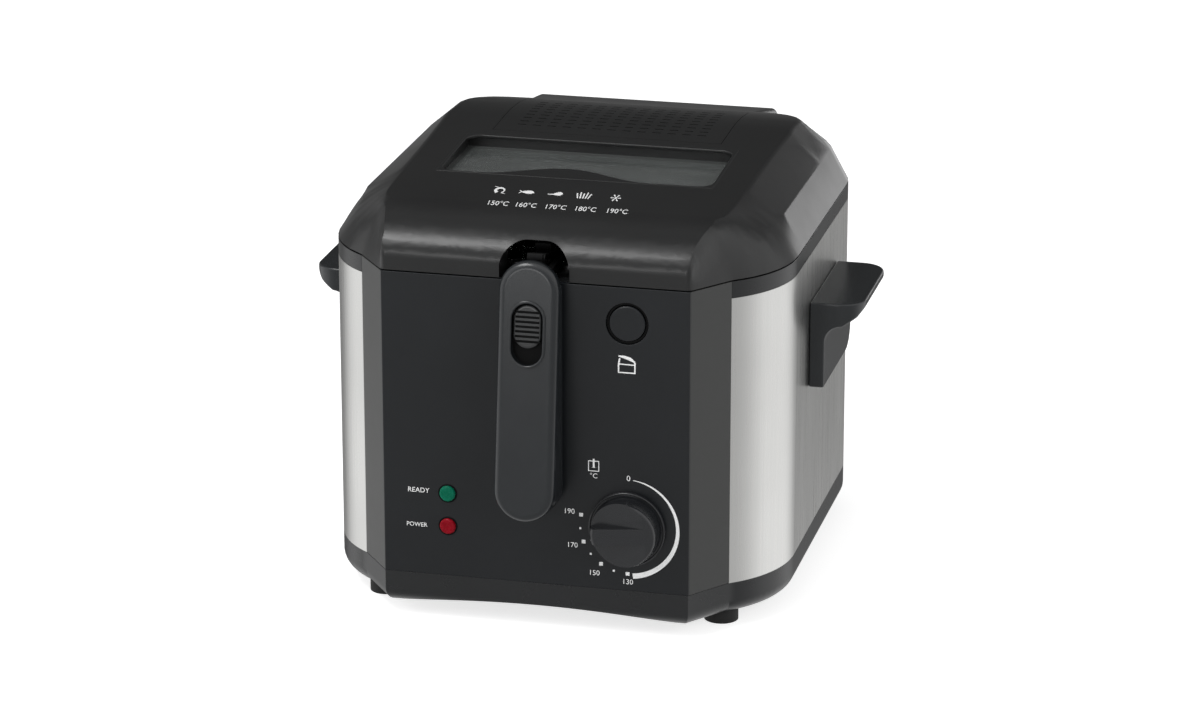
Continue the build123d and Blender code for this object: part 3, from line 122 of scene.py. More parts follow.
def vary_colour(tree, shader, value, dark, light):
    """Lets a noise value carry the colour from a dark to a light one."""
    ramp = tree.nodes.new("ShaderNodeValToRGB")
    ramp.color_ramp.elements[0].position = NOISE_LOW
    ramp.color_ramp.elements[1].position = NOISE_HIGH
    ramp.color_ramp.elements[0].color = (*dark, 1)
    ramp.color_ramp.elements[1].color = (*light, 1)
    tree.links.new(value, ramp.inputs["Fac"])
    tree.links.new(ramp.outputs["Color"], shader.inputs["Base Color"])


def relief(tree, shader, value, strength, depth):
    """Bump from a noise value, with its depth in metres."""
    bump = tree.nodes.new("ShaderNodeBump")
    bump.inputs["Strength"].default_value = strength
    bump.inputs["Distance"].default_value = depth
    tree.links.new(value, bump.inputs["Height"])
    tree.links.new(bump.outputs["Normal"], shader.inputs["Normal"])


def shade(colour, factor):
    return tuple(channel * factor for channel in colour)


def moulded_plastic(name, colour, roughness, specular):
    """Satin moulded plastic: slow drift of shade, fine spark-eroded grain."""
    material, tree, shader, coords = blank_material(name)
    drift = noise(tree, coords, 14.0)
    dark, light = shade(colour, 1 - PLASTIC_SWING), shade(colour, 1 + PLASTIC_SWING)
    vary_colour(tree, shader, drift, dark, light)
    haze = noise(tree, coords, 60.0)
    vary_roughness(tree, shader, haze, roughness - PLASTIC_HAZE, roughness + PLASTIC_HAZE)
    shader.inputs["Specular IOR Level"].default_value = specular
    relief(tree, shader, noise(tree, coords, GRAIN_SCALE, detail=1.0), GRAIN, GRAIN_DEPTH)
    return material


def painted_corner_light(material, start, colour):
    """Painted light: a paler colour beyond a distance from the middle, where the panel turns its corners,
    so those faces look lit from the sides.
    """
    tree = material.node_tree
    split = tree.nodes.new("ShaderNodeSeparateXYZ")
    tree.links.new(tree.nodes["Texture Coordinate"].outputs["Object"], split.inputs["Vector"])
    out = tree.nodes.new("ShaderNodeMath")
    out.operation = "ABSOLUTE"
    tree.links.new(split.outputs["X"], out.inputs[0])
    beyond = tree.nodes.new("ShaderNodeMapRange")
    beyond.inputs["From Min"].default_value = start
    beyond.inputs["From Max"].default_value = start + MM
    tree.links.new(out.outputs[0], beyond.inputs["Value"])
    painted_light_mix = tree.nodes.new("ShaderNodeMix")
    painted_light_mix.data_type = "RGBA"
    base = tree.nodes["Principled BSDF"].inputs["Base Color"]
    tree.links.new(beyond.outputs["Result"], painted_light_mix.inputs["Factor"])
    tree.links.new(base.links[0].from_socket, painted_light_mix.inputs["A"])
    painted_light_mix.inputs["B"].default_value = (*colour, 1)
    tree.links.new(painted_light_mix.outputs["Result"], base)


def brushed_metal(name, colour, roughness, stretch):
    """Metal with fine brush lines along the axis that isn't squeezed."""
    material, tree, shader, coords = blank_material(name)
    lines = noise(tree, coords, 1.0, detail=4.0, stretch=stretch)
    cloud = noise(tree, coords, 9.0)
    vary_colour(tree, shader, cloud, shade(colour, 1 - BRUSH_SWING), shade(colour, 1 + BRUSH_SWING))
    vary_roughness(tree, shader, lines, roughness - BRUSH_SWING, roughness + BRUSH_SWING)
    shader.inputs["Metallic"].default_value = 1.0
    relief(tree, shader, lines, BRUSH_RELIEF, BRUSH_DEPTH)
    return material


def turned_metal(name, colour, roughness):
    """Plain bright metal with slight clouding."""
    material, tree, shader, coords = blank_material(name)
    cloud = noise(tree, coords, 120.0)
    vary_colour(tree, shader, cloud, shade(colour, 0.93), shade(colour, 1.05))
    vary_roughness(tree, shader, cloud, roughness - 0.05, roughness + 0.06)
    shader.inputs["Metallic"].default_value = 1.0
    return material


def soft_matte(name, colour, roughness, scale, depth):
    """Rubber, felt and coatings: speckled shade over a fine rough surface."""
    material, tree, shader, coords = blank_material(name)
    speck = noise(tree, coords, scale, detail=4.0)
    vary_colour(tree, shader, speck, shade(colour, 0.82), shade(colour, 1.15))
    vary_roughness(tree, shader, speck, roughness - MATTE_HAZE, roughness + MATTE_HAZE)
    shader.inputs["Specular IOR Level"].default_value = MATTE_SPECULAR
    relief(tree, shader, speck, MATTE_RELIEF, depth)
    return material


def tinted_lens(name, deep, lit):
    """Clear coloured plastic over a small lamp."""
    material, tree, shader, coords = blank_material(name)
    vary_colour(tree, shader, noise(tree, coords, 260.0), deep, lit)
    vary_roughness(tree, shader, noise(tree, coords, 700.0), 0.22, 0.32)
    shader.inputs["Specular IOR Level"].default_value = LENS_SPECULAR
    return material


def window_pane(name):
    """Smoky clear glass with a faint film of wiped grease."""
    material, tree, shader, coords = blank_material(name)
    film = noise(tree, coords, 22.0, detail=2.0, stretch=(1.0, 3.0, 1.0))
    vary_colour(tree, shader, film, (0.42, 0.45, 0.44), (0.52, 0.55, 0.54))
    vary_roughness(tree, shader, film, 0.06, 0.16)
    shader.inputs["Transmission Weight"].default_value = PANE_CLEAR
    shader.inputs["IOR"].default_value = PANE_IOR
    return material


def white_ink(name):
    """Pad-printed white with slightly uneven cover."""
    material, tree, shader, coords = blank_material(name)
    cover = noise(tree, coords, 900.0)
    vary_colour(tree, shader, cover, (0.86, 0.87, 0.87), (0.97, 0.97, 0.97))
    vary_roughness(tree, shader, cover, 0.45, 0.6)
    return material


# Painted light: the panel's corner faces beyond this distance across take a paler colour, to look lit from
# the sides
PAINTED_LIGHT_FROM = 90.0
panel_black = moulded_plastic("panel_black", (0.0095, 0.0108, 0.0125), 0.3, 0.42)
painted_corner_light(panel_black, PAINTED_LIGHT_FROM * MM, (0.038, 0.039, 0.038))
base_black = moulded_plastic("base_black", (0.013, 0.0138, 0.0148), 0.28, 0.5)
lid_black = moulded_plastic("lid_black", (0.0125, 0.0128, 0.013), 0.3, 0.5)
handle_black = moulded_plastic("handle_black", (0.0115, 0.0135, 0.0155), 0.24, 0.6)
slider_black = moulded_plastic("slider_black", (0.02, 0.021, 0.022), 0.18, 0.75)
knob_black = moulded_plastic("knob_black", (0.0125, 0.0135, 0.0155), 0.2, 0.65)
# Dark matt black of the inner plastic, also used as painted shade in gaps, recesses, the slider's grooves
# and round the lamp lenses
inner_black_and_painted_shade = moulded_plastic("inner_black_and_painted_shade", (0.004, 0.004, 0.0042), 0.55, 0.12)
steel_brushed = brushed_metal("steel_brushed", (0.7, 0.7, 0.685), 0.3, (1400.0, 1400.0, 9.0))
liner_metal = brushed_metal("liner_metal", (0.62, 0.62, 0.61), 0.38, (10.0, 900.0, 900.0))
heater_metal = turned_metal("heater_metal", (0.33, 0.31, 0.29), 0.45)
pin_metal = turned_metal("pin_metal", (0.55, 0.55, 0.55), 0.3)
wire_metal = turned_metal("wire_metal", (0.7, 0.7, 0.69), 0.2)
bowl_coat = soft_matte("bowl_coat", (0.035, 0.035, 0.037), 0.42, 900.0, 0.00004)
foot_rubber = soft_matte("foot_rubber", (0.02, 0.02, 0.02), 0.7, 600.0, 0.00008)
seal_rubber = soft_matte("seal_rubber", (0.03, 0.03, 0.031), 0.6, 500.0, 0.00005)
filter_felt = soft_matte("filter_felt", (0.62, 0.6, 0.55), 0.9, 420.0, 0.0006)
green_lens = tinted_lens("green_lens", (0.0, 0.11, 0.058), (0.002, 0.15, 0.085))
red_lens = tinted_lens("red_lens", (0.2, 0.001, 0.006), (0.27, 0.003, 0.012))
glass = window_pane("glass")
ink = white_ink("ink")

FINISH = {
    "panel_plastic": panel_black,
    "base_plastic": base_black,
    "collar_plastic": base_black,
    "lid_plastic": lid_black,
    "handle_plastic": handle_black,
    "slider_plastic": slider_black,
    "knob_plastic": knob_black,
    "inner_plastic": inner_black_and_painted_shade,
    "steel_skin": steel_brushed,
    "bowl_coating": bowl_coat,
    "heater_steel": heater_metal,
    "lid_liner": liner_metal,
    "pin_steel": pin_metal,
    "basket_wire": wire_metal,
    "foot_rubber": foot_rubber,
    "seal_rubber": seal_rubber,
    "window_glass": glass,
    "filter_felt": filter_felt,
    "green_lens": green_lens,
    "red_lens": red_lens,
}
for node_name, node_object in nodes.items():
    node_object.data.materials.clear()
    node_object.data.materials.append(FINISH[slot_of[node_name]])
# Painted shade: these sit in gaps and recesses, and take the dark matt black so that they look shaded
# there
for node_name in ("button_bezel", "lift_housing", "handle_knuckle", "latch_plate"):
    nodes[node_name].data.materials[0] = inner_black_and_painted_shade


# Making pieces; a drawn mesh is in millimetres until it is placed
DRAWN_MERGE = 0.001
FLAT_TURN = 0.999
INK_T = 0.06
CAP_SHARE = 0.72
LETTER_STEPS = 3


def new_piece(name, mesh, body, slot, material):
    """Links a finished mesh and lets it ride on a body."""
    mesh.materials.append(material)
    piece = bpy.data.objects.new(name, mesh)
    bpy.context.scene.collection.objects.link(piece)
    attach(piece, body)
    return piece


def finished_mesh(name, work):
    """Hands the work over to a mesh of its own."""
    mesh = bpy.data.meshes.new(name)
    work.to_mesh(mesh)
    work.free()
    return mesh


def curve_mesh(curve, name):
    """The mesh of a curve or a text, still in its own plane."""
    holder = bpy.data.objects.new(name, curve)
    bpy.context.scene.collection.objects.link(holder)
    drawn = holder.evaluated_get(bpy.context.evaluated_depsgraph_get())
    mesh = bpy.data.meshes.new_from_object(drawn)
    mesh.name = name
    bpy.data.objects.remove(holder)
    bpy.data.curves.remove(curve)
    return mesh


def add_spline(curve, points, closed=True):
    """Adds straight runs through points to a curve, and returns its control points."""
    spline = curve.splines.new("POLY")
    spline.points.add(len(points) - 1)
    spline.use_cyclic_u = closed
    for control, at in zip(spline.points, points):
        control.co = (*Vector(at).to_3d(), 1)
    return spline.points


def tube(name, points, widths, closed=False, sides=2):
    """A round bar along points, with a width at each."""
    curve = bpy.data.curves.new(name, "CURVE")
    curve.dimensions = "3D"
    curve.bevel_depth = 0.5
    curve.bevel_resolution = sides
    curve.use_fill_caps = True
    for control, width in zip(add_spline(curve, points, closed), widths):
        control.radius = width
    return curve_mesh(curve, name)


def flat_curve(name, depth):
    """A curve that fills its outline, and is thickened by a depth to each side."""
    curve = bpy.data.curves.new(name, "CURVE")
    curve.dimensions = "2D"
    curve.fill_mode = "BOTH"
    curve.extrude = depth
    return curve


def lettering(name, words, height):
    """Raised letters about their own middle."""
    curve = bpy.data.curves.new(name, "FONT")
    curve.body = words
    curve.size = height / CAP_SHARE
    curve.align_x = "CENTER"
    curve.align_y = "CENTER"
    curve.resolution_u = LETTER_STEPS
    curve.extrude = INK_T
    return curve_mesh(curve, name)


def join_flat(name, meshes, thickness):
    """Joins drawn strokes into one thin layer of ink."""
    work = bmesh.new()
    for mesh in meshes:
        work.from_mesh(mesh)
        bpy.data.meshes.remove(mesh)
    deepest = max(abs(vert.co.z) for vert in work.verts)
    bmesh.ops.scale(work, vec=(1, 1, thickness / deepest), verts=work.verts)
    bmesh.ops.remove_doubles(work, verts=work.verts, dist=DRAWN_MERGE)
    for face in work.faces:
        face.smooth = False
    return finished_mesh(name, work)


def welded(mesh):
    """Joins a drawn mesh along its seams, with its level faces kept flat in the shading."""
    work = bmesh.new()
    work.from_mesh(mesh)
    bmesh.ops.remove_doubles(work, verts=work.verts, dist=DRAWN_MERGE)
    work.normal_update()
    for face in work.faces:
        face.smooth = abs(face.normal.z) < FLAT_TURN
    work.to_mesh(mesh)
    work.free()
    return mesh


def place(mesh, matrix):
    mesh.transform(matrix)
    mesh.update()
    return mesh


# Soft edges: merged copies of moulded pieces, with their outer corners rounded as a mould leaves them;
# MERGE is in metres, and angles are in degrees
MERGE = 0.00001
EVEN_ANGLE = 0.3
SMOOTH_ANGLE = 35.0
CORNER_ANGLE = 30.0
EDGE_ROUND = 0.7
WING_ROUND = 1.2
LID_ROUND = 2.0
# How the lid's facets are told apart, by the share of their normal along an axis
LID_UNDER = -0.2
CROWN_TURN = 0.1
BAND_TURN = 0.45
# The lid's folds: how far they turn, and how far back those beside the crown start
LID_FOLD_LEAST = 12.0
LID_FOLD_MOST = 86.0
SHOULDER_DEPTH = 78.0
# The lid's front corners: where they are, how finely they are cut, and the steps that are closed there
ROUND_FROM = 90.0
ROUND_DEPTH = 95.0
ROUND_RISE = 34.0
ROUND_CELL = 4.0
ROUND_PASSES = 20
STEP_AREA = 6.0
STEP_W = 0.5


def merged(node):
    """A copy of a node's mesh whose loose triangles are joined, with even faces in one piece."""
    work = bmesh.new()
    work.from_mesh(nodes[node].data)
    bmesh.ops.remove_doubles(work, verts=work.verts, dist=MERGE)
    bmesh.ops.dissolve_limit(work, angle_limit=radians(EVEN_ANGLE), verts=work.verts, edges=work.edges)
    return work


def hard_corner(edge):
    """Whether a corner stays crisp in the shading."""
    return edge.calc_face_angle(pi) > radians(SMOOTH_ANGLE)


def soften(node, radius, steps, wanted, clamp=True, reshape=None):
    """Replaces a node by a copy with its wanted edges rounded; broad faces stay flat in the shading."""
    work = merged(node)
    edges = [edge for edge in work.edges if edge.is_manifold and wanted(edge)]
    bmesh.ops.bevel(work, geom=edges, offset=radius * MM, offset_type="OFFSET", affect="EDGES",
                    segments=steps, profile=0.5, clamp_overlap=clamp, material=-1)
    work.normal_update()
    if reshape:
        reshape(work)
        work.normal_update()
    for face in work.faces:
        face.smooth = True
    for edge in work.edges:
        edge.smooth = not hard_corner(edge)
    mesh = finished_mesh(f"{node}_soft", work)
    slot = slot_of[node]
    piece = new_piece(f"{node}_soft", mesh, body_of[node], slot, FINISH[slot])
    weighted = piece.modifiers.new("even_shading", "WEIGHTED_NORMAL")
    weighted.keep_sharp = True
    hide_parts(node)
    return piece


def outer_corner(edge):
    return edge.is_convex and edge.calc_face_angle(0) > radians(CORNER_ANGLE)


def lid_zone(face):
    """Which of the lid's broad faces a facet is in: crown, slope or the upright band over the seam."""
    if face.normal.z < LID_UNDER:
        return "under"
    if abs(face.normal.x) < CROWN_TURN:
        return "crown"
    return "band" if face.normal.z < BAND_TURN else "slope"


def lid_fold(edge):
    """The lid's long folds, where one broad face meets the next."""
    zones = {lid_zone(face) for face in edge.link_faces}
    if "crown" not in zones and min(vert.co.y for vert in edge.verts) < front_y + SHOULDER_DEPTH * MM:
        return False
    turns = radians(LID_FOLD_LEAST) < edge.calc_face_angle(0) < radians(LID_FOLD_MOST)
    return edge.is_convex and turns and len(zones) == 2 and "under" not in zones


def lid_side(face):
    """Whether a facet is on the outside of the lid, beside its top face and its nose."""
    at = face.calc_center_median()
    outside = at.x * face.normal.x > 0 and abs(at.x) > ROUND_FROM * MM
    return outside and lid_zone(face) in ("slope", "band")


def slice_faces(work, faces, at, normal):
    """Cuts some of the faces along a plane."""
    edges = dict.fromkeys(edge for face in faces for edge in face.edges)
    verts = dict.fromkeys(vert for face in faces for vert in face.verts)
    bmesh.ops.bisect_plane(work, geom=[*faces, *edges, *verts], dist=MERGE, plane_co=at, plane_no=normal)


def close_steps(work, skin):
    """Takes out the hair-thin steps in the lid's skin, and returns what fills the gaps left."""
    inside = set(skin)
    rim = {vert for face in skin for vert in face.verts}
    steps = [face for face in work.faces if face not in inside and rim.issuperset(face.verts)
             and face.calc_area() < STEP_AREA * MM**2]
    seams = [vert for vert in work.verts if vert in rim]
    bmesh.ops.delete(work, geom=steps, context="FACES_ONLY")
    bmesh.ops.remove_doubles(work, verts=seams, dist=STEP_W * MM)
    flaps = [face for face in work.faces if any(len(edge.link_faces) > 2 for edge in face.edges)
             and any(edge.is_boundary for edge in face.edges)]
    bmesh.ops.delete(work, geom=flaps, context="FACES")
    loose = [edge for edge in work.edges if edge.is_wire]
    bmesh.ops.delete(work, geom=loose, context="EDGES")
    gaps = [edge for edge in work.edges if edge.is_boundary]
    return bmesh.ops.holes_fill(work, edges=gaps, sides=0)["faces"]


def round_shoulders(work):
    """Lets the lid's slope and band flow into each other round its front corners."""
    reach = front_y + ROUND_DEPTH * MM
    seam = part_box("front_panel")[1].z

    def shoulders():
        return [face for face in work.faces if lid_side(face) and face.calc_center_median().y < reach]

    slice_faces(work, [face for face in work.faces if lid_side(face)], (0, reach, 0), (0, 1, 0))
    for step in range(1, int(ROUND_DEPTH / ROUND_CELL)):
        slice_faces(work, shoulders(), (0, reach - step * ROUND_CELL * MM, 0), (0, 1, 0))
    for step in range(1, int(ROUND_RISE / ROUND_CELL)):
        slice_faces(work, shoulders(), (0, 0, seam + step * ROUND_CELL * MM), (0, 0, 1))
    patches = close_steps(work, shoulders())
    work.normal_update()
    skin = {*shoulders(), *patches}
    free = [vert for vert in work.verts if vert.link_faces and skin.issuperset(vert.link_faces)]
    for _ in range(ROUND_PASSES):
        bmesh.ops.smooth_vert(work, verts=free, factor=0.5,
                              use_axis_x=True, use_axis_y=True, use_axis_z=True)


soften("lid_shell", LID_ROUND, steps=3, wanted=lid_fold, clamp=False, reshape=round_shoulders)
for node_name in ("front_panel", "base_tray", "top_collar", "control_knob"):
    soften(node_name, EDGE_ROUND, steps=2, wanted=outer_corner)
for node_name in ("left_carry_handle", "right_carry_handle"):
    soften(node_name, WING_ROUND, steps=3, wanted=outer_corner)


# Prints on the front panel; places are across and up
DIAL_RADIUS = 28.0
DIAL_STEP = 17.0
DIAL_MARKS = 7
DIAL_LEAST = 130
HEAT_STEP = 10
BIG_MARK = 2.2
SMALL_MARK = 1.2
NUMBER_H = 3.2
NUMBER_GAP = 7.2
LOW_NUMBER_GAP = 5.0
ZERO_H = 3.5
ZERO_AT = (0.4, 30.0)
BAND_RADIUS = 29.3
BAND_STEPS = 40
BAND_START = 6
BAND_SWEEP = 168
BAND_THIN = 0.35
BAND_SWELL = 2.9
BAND_GROWTH = 0.8
MARK_LINE = 0.7
READY_H = 3.0
POWER_H = 2.6
THERMOMETER_OFF = Vector((-20.0, 0, 36.0)) * MM
OPEN_LID_OFF = Vector((0, 0, -24.2)) * MM
READY_OFF = Vector((-17.4, 0, 0.6)) * MM
POWER_OFF = Vector((-18.6, 0, -0.6)) * MM


def stroke(*stops):
    """One pen stroke through (across, up, width) stops."""
    return tube("stroke", [(x, y, 0) for x, y, width in stops], [width for x, y, width in stops])


def loop(width, *corners):
    """A closed pen stroke of one width."""
    return tube("loop", [(x, y, 0) for x, y in corners], [width] * len(corners), closed=True)


def moved(mesh, x, y):
    return place(mesh, Matrix.Translation((x, y, 0)))


def on_panel(centre, out_by=0.0):
    """The place of a drawing that stands upright on the front panel, or a distance out of it."""
    at = Matrix.Translation((centre.x, front_y - out_by * MM, centre.z))
    return at @ Matrix.Rotation(pi / 2, 4, "X") @ Matrix.Scale(MM, 4)


def panel_print(name, drawings, centre):
    """Sets drawings upright on the front panel round a centre."""
    mesh = place(join_flat(name, drawings, INK_T), on_panel(centre))
    return new_piece(name, mesh, "housing", "panel_plastic", ink)


def dial_spot(turn, radius):
    """A point round the dial, turned clockwise from the bottom."""
    return -radius * sin(radians(turn)), -radius * cos(radians(turn))


def dial_band():
    """A stroke that swells from 0 round the right of the dial."""
    band = []
    for step in range(BAND_STEPS + 1):
        share = step / BAND_STEPS
        turn = radians(BAND_START + BAND_SWEEP * share)
        width = BAND_THIN + BAND_SWELL * share**BAND_GROWTH
        band.append((BAND_RADIUS * sin(turn), BAND_RADIUS * cos(turn), width))
    return stroke(*band)


def dial_drawings():
    """Swelling band from 0, a mark every 10 degrees and a number at every second one."""
    drawings = [dial_band(), moved(lettering("zero", "0", ZERO_H), *ZERO_AT)]
    for index in range(DIAL_MARKS):
        numbered = index % 2 == 0
        x, z = dial_spot(DIAL_STEP * index, DIAL_RADIUS)
        size = BIG_MARK if numbered else SMALL_MARK
        drawings.append(stroke((x - size / 2, z, size), (x + size / 2, z, size)))
        if numbered:
            degrees = str(DIAL_LEAST + HEAT_STEP * index)
            gap = LOW_NUMBER_GAP if index == 0 else NUMBER_GAP
            x, z = dial_spot(DIAL_STEP * index, DIAL_RADIUS + gap)
            drawings.append(moved(lettering("degrees", degrees, NUMBER_H), x, z))
    return drawings


def thermometer_drawings():
    """A small thermometer in a square, over the sign for its degrees."""
    half = 3.0
    return [loop(MARK_LINE, (-half, -half), (half, -half), (half, half), (-half, half)),
            stroke((0, -1.0, 2.6), (0, -0.9, 2.6)),
            stroke((0, -1.0, 1.2), (0, 4.4, 1.0)),
            moved(lettering("unit", "\u00b0C", 3.0), 0, -6.0)]


def open_lid_drawings():
    """A small fryer with its lid swung up."""
    return [stroke((-4.2, 3.6, 0.9), (-4.9, 0.2, 0.9), (-4.9, -4.8, 1.0), (4.6, -4.8, 1.0),
                   (4.6, 1.6, 0.9)),
            stroke((-4.9, 0.2, 0.7), (4.5, 0.0, 0.7)),
            stroke((-4.9, 4.9, 0.8), (-1.5, 4.5, 1.7), (1.8, 3.5, 1.9), (4.6, 1.7, 0.9))]


dial = middle("control_knob")
button = middle("lid_button")
panel_print("dial_scale", dial_drawings(), dial)
panel_print("thermometer_mark", thermometer_drawings(), dial + THERMOMETER_OFF)
panel_print("open_lid_mark", open_lid_drawings(), button + OPEN_LID_OFF)
panel_print("ready_word", [lettering("ready", "READY", READY_H)], middle("green_lamp_lens") + READY_OFF)
panel_print("power_word", [lettering("power", "POWER", POWER_H)], middle("red_lamp_lens") + POWER_OFF)


# Prints on the lid: food marks over the heat that each needs
LID_STRETCH = 2.0
LID_LEAN = -0.2
HEAT_DEPTH = 42.0
HEAT_H = 3.6
LID_LEAST = 150
FOOD_DEPTH = 65.0
HEAT_SPOTS = (-32.0, -15.5, 2.0, 19.5, 38.0)
FOOD_SPOTS = (-37.0, -20.5, -3.5, 13.0, 32.0)
PLUMB_FROM = 1000.0


def prawn():
    curl = [(2.6 * cos(radians(turn)) + 0.4, 2.2 * sin(radians(turn)), 0.5 + 1.5 * (turn + 60) / 300)
            for turn in range(-60, 241, 30)]
    return [stroke(*curl),
            stroke((1.6, -2.0, 0.5), (4.0, -2.8, 0.4)),
            stroke((-1.2, 2.4, 0.3), (-3.8, 3.4, 0.3))]


def fish():
    body = stroke((-3.4, 0, 0.5), (-1.6, 0, 1.9), (0.6, 0, 3.0), (2.6, 0, 2.6), (4.2, 0, 0.8))
    return [body, stroke((-4.6, 1.3, 0.5), (-3.2, 0, 0.9), (-4.6, -1.3, 0.5))]


def drumstick():
    meat = stroke((-1.4, -0.4, 0.9), (0.6, 0.0, 2.6), (2.4, 0.4, 3.4), (4.0, 0.7, 1.2))
    return [meat,
            stroke((-4.4, -0.2, 1.1), (-4.3, -0.3, 1.1)),
            stroke((-4.0, -0.5, 0.8), (-1.4, -0.4, 0.8)),
            stroke((-4.2, -1.0, 1.0), (-4.1, -1.0, 1.0))]


def chips():
    return [stroke((-3.0 + 1.5 * index, -2.4, 0.8), (-4.2 + 2.1 * index, 2.0 + (index % 2), 0.8))
            for index in range(5)]


def ice_star():
    drawings = []
    for index in range(3):
        x, y = 3.0 * cos(pi * index / 3), 3.0 * sin(pi * index / 3)
        drawings.append(stroke((-x, -y, 1.0), (-x / 3, -y / 3, 0.4), (x / 3, y / 3, 0.4), (x, y, 1.0)))
    return drawings


def plumb(carrier, x, y):
    """The point where a plumb line from above meets a surface."""
    return carrier.ray_cast(Vector((x, y, PLUMB_FROM * MM)), Vector((0, 0, -1)))[0]


def drape(mesh, carrier):
    """Lays a flat print on the skin of the piece under it."""
    for vert in mesh.vertices:
        vert.co.z += plumb(carrier, vert.co.x, vert.co.y).z
    mesh.update()


def skin_of(node):
    """A node's surface, for casting rays at it."""
    work = bmesh.new()
    work.from_mesh(nodes[node].data)
    tree = BVHTree.FromBMesh(work)
    work.free()
    return tree


def lid_print(name, drawings, across, depth, carrier):
    """Lays drawings on the lid, stretched and leaning as they look from the front."""
    mesh = join_flat(name, drawings, INK_T)
    at = Matrix.Translation((across * MM, front_y + depth * MM, 0))
    lean = Matrix.Shear("XZ", 4, (LID_LEAN, 0.0))
    place(mesh, at @ Matrix.Diagonal((MM, MM * LID_STRETCH, MM, 1)) @ lean)
    drape(mesh, carrier)
    return new_piece(name, mesh, "lid", "lid_plastic", ink)


lid_skin = skin_of("lid_shell")
foods = {"prawn": prawn, "fish": fish, "drumstick": drumstick, "chips": chips, "ice_star": ice_star}
for index, (food, draw) in enumerate(foods.items()):
    lid_print(f"{food}_mark", draw(), FOOD_SPOTS[index], FOOD_DEPTH, lid_skin)
    heat = lettering("heat", f"{LID_LEAST + HEAT_STEP * index}\u00b0C", HEAT_H)
    lid_print(f"{food}_heat", [heat], HEAT_SPOTS[index], HEAT_DEPTH, lid_skin)


# Frame round the window, with rounded corners and a waved front edge; the wave is a dark sheet over the
# glass, a painted reflection of the lid's nose
FRAME_OUT = 0.5
FRAME_IN = 0.6
FRAME_ROUND = 9.0
FRAME_T = 0.5
FRAME_PROBE = 6.0
FRAME_SINK = 0.85
CORNER_STEPS = 8
REFLECTION_WAVE_X = -7.0
REFLECTION_WAVE_HALF = 50.0
REFLECTION_WAVE_SHARE = 0.23
REFLECTION_WAVE_STEPS = 24


def painted_reflection_wave(front, height):
    """Points along the front edge, where it swells towards the middle of the window; the swell is a
    painted reflection on the glass.
    """
    turns = [pi * (2 * step / REFLECTION_WAVE_STEPS - 1) for step in range(REFLECTION_WAVE_STEPS + 1)]
    return [(REFLECTION_WAVE_X + REFLECTION_WAVE_HALF * turn / pi, front + height * (1 + cos(turn)) / 2) for turn in turns]


def rounded_loop(curve, half_x, half_y, radius, wave=0.0):
    """Adds a closed rounded rectangle about the curve's own middle, with a wave in its front edge for a
    painted reflection.
    """
    points = []
    for quarter, (side_x, side_y) in enumerate(((1, 1), (-1, 1), (-1, -1), (1, -1))):
        for step in range(CORNER_STEPS + 1):
            turn = pi / 2 * (quarter + step / CORNER_STEPS)
            points.append((side_x * (half_x - radius) + radius * cos(turn),
                           side_y * (half_y - radius) + radius * sin(turn)))
        if wave and quarter == 2:
            points += painted_reflection_wave(-half_y, wave)
    add_spline(curve, points)


def make_window_frame(carrier):
    """A thin frame on the lid's slope that rounds off the window's corners, and waves along its front as a
    painted reflection on the glass.
    """
    low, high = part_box("lid_window")
    centre = (low + high) / 2
    half = (high - low) / 2 / MM
    front = plumb(carrier, 0, low.y - FRAME_PROBE * MM)
    rear = plumb(carrier, 0, high.y + FRAME_PROBE * MM)
    rise = rear - front
    stretch = rise.length / rise.y
    curve = flat_curve("window_frame", FRAME_T)
    curve.bevel_depth = FRAME_T
    curve.bevel_resolution = 2
    # Painted reflection: the height of the dark wave over the glass
    wave = 2 * half.y * REFLECTION_WAVE_SHARE
    rounded_loop(curve, half.x + FRAME_OUT, (half.y + FRAME_OUT) * stretch, FRAME_OUT)
    rounded_loop(curve, half.x - FRAME_IN, (half.y - FRAME_IN) * stretch, FRAME_ROUND, wave)
    mesh = welded(curve_mesh(curve, "window_frame"))
    along = rise.normalized()
    up = Vector((1, 0, 0)).cross(along)
    axes = Matrix((Vector((1, 0, 0)), along, up)).transposed().to_4x4()
    at = front + rise * ((centre.y - front.y) / rise.y) - up * FRAME_SINK * MM
    place(mesh, Matrix.Translation((centre.x, at.y, at.z)) @ axes @ Matrix.Scale(MM, 4))
    return new_piece("window_frame", mesh, "lid", "lid_plastic", lid_black)


make_window_frame(lid_skin)


# The slider's recess: a raised lip round it, and painted shade, a dark sheet on its floor and dark sheets
# in the slider's grooves
LIP_HALF = 9.9
LIP_RUN = 8.8
LIP_W = 1.8
LIP_OUT = 2.9
LIP_STEPS = 12
RECESS_HALF = 9.2
RECESS_PROBE = 15.0
RECESS_SKIN = 0.02
GROOVES = 7
GROOVE_PITCH = 2.8
GROOVE_W = 1.4
GROOVE_L = 14.0
SLIDE_HALF = joint_of["handle_slider_slide"]["range_m"][1] / 2 / MM


def oval(half, run):
    """Points round an oval with straight sides, in its own plane."""
    ring = []
    for end in (1, -1):
        for step in range(LIP_STEPS + 1):
            turn = pi * step / LIP_STEPS
            ring.append((end * half * cos(turn), end * (run + half * sin(turn)), 0))
    return ring


def recess_place(out_by):
    """The plane of the recess about its middle, a distance out of the slider's middle."""
    slide = joint_of["handle_slider_slide"]
    down = Vector(slide["axis"]).normalized()
    across = Vector((1, 0, 0))
    out = across.cross(-down)
    centre = middle("handle_slider") + down * SLIDE_HALF * MM + out * out_by * MM
    axes = Matrix((across, -down, out)).transposed().to_4x4()
    return Matrix.Translation(centre) @ axes @ Matrix.Scale(MM, 4)


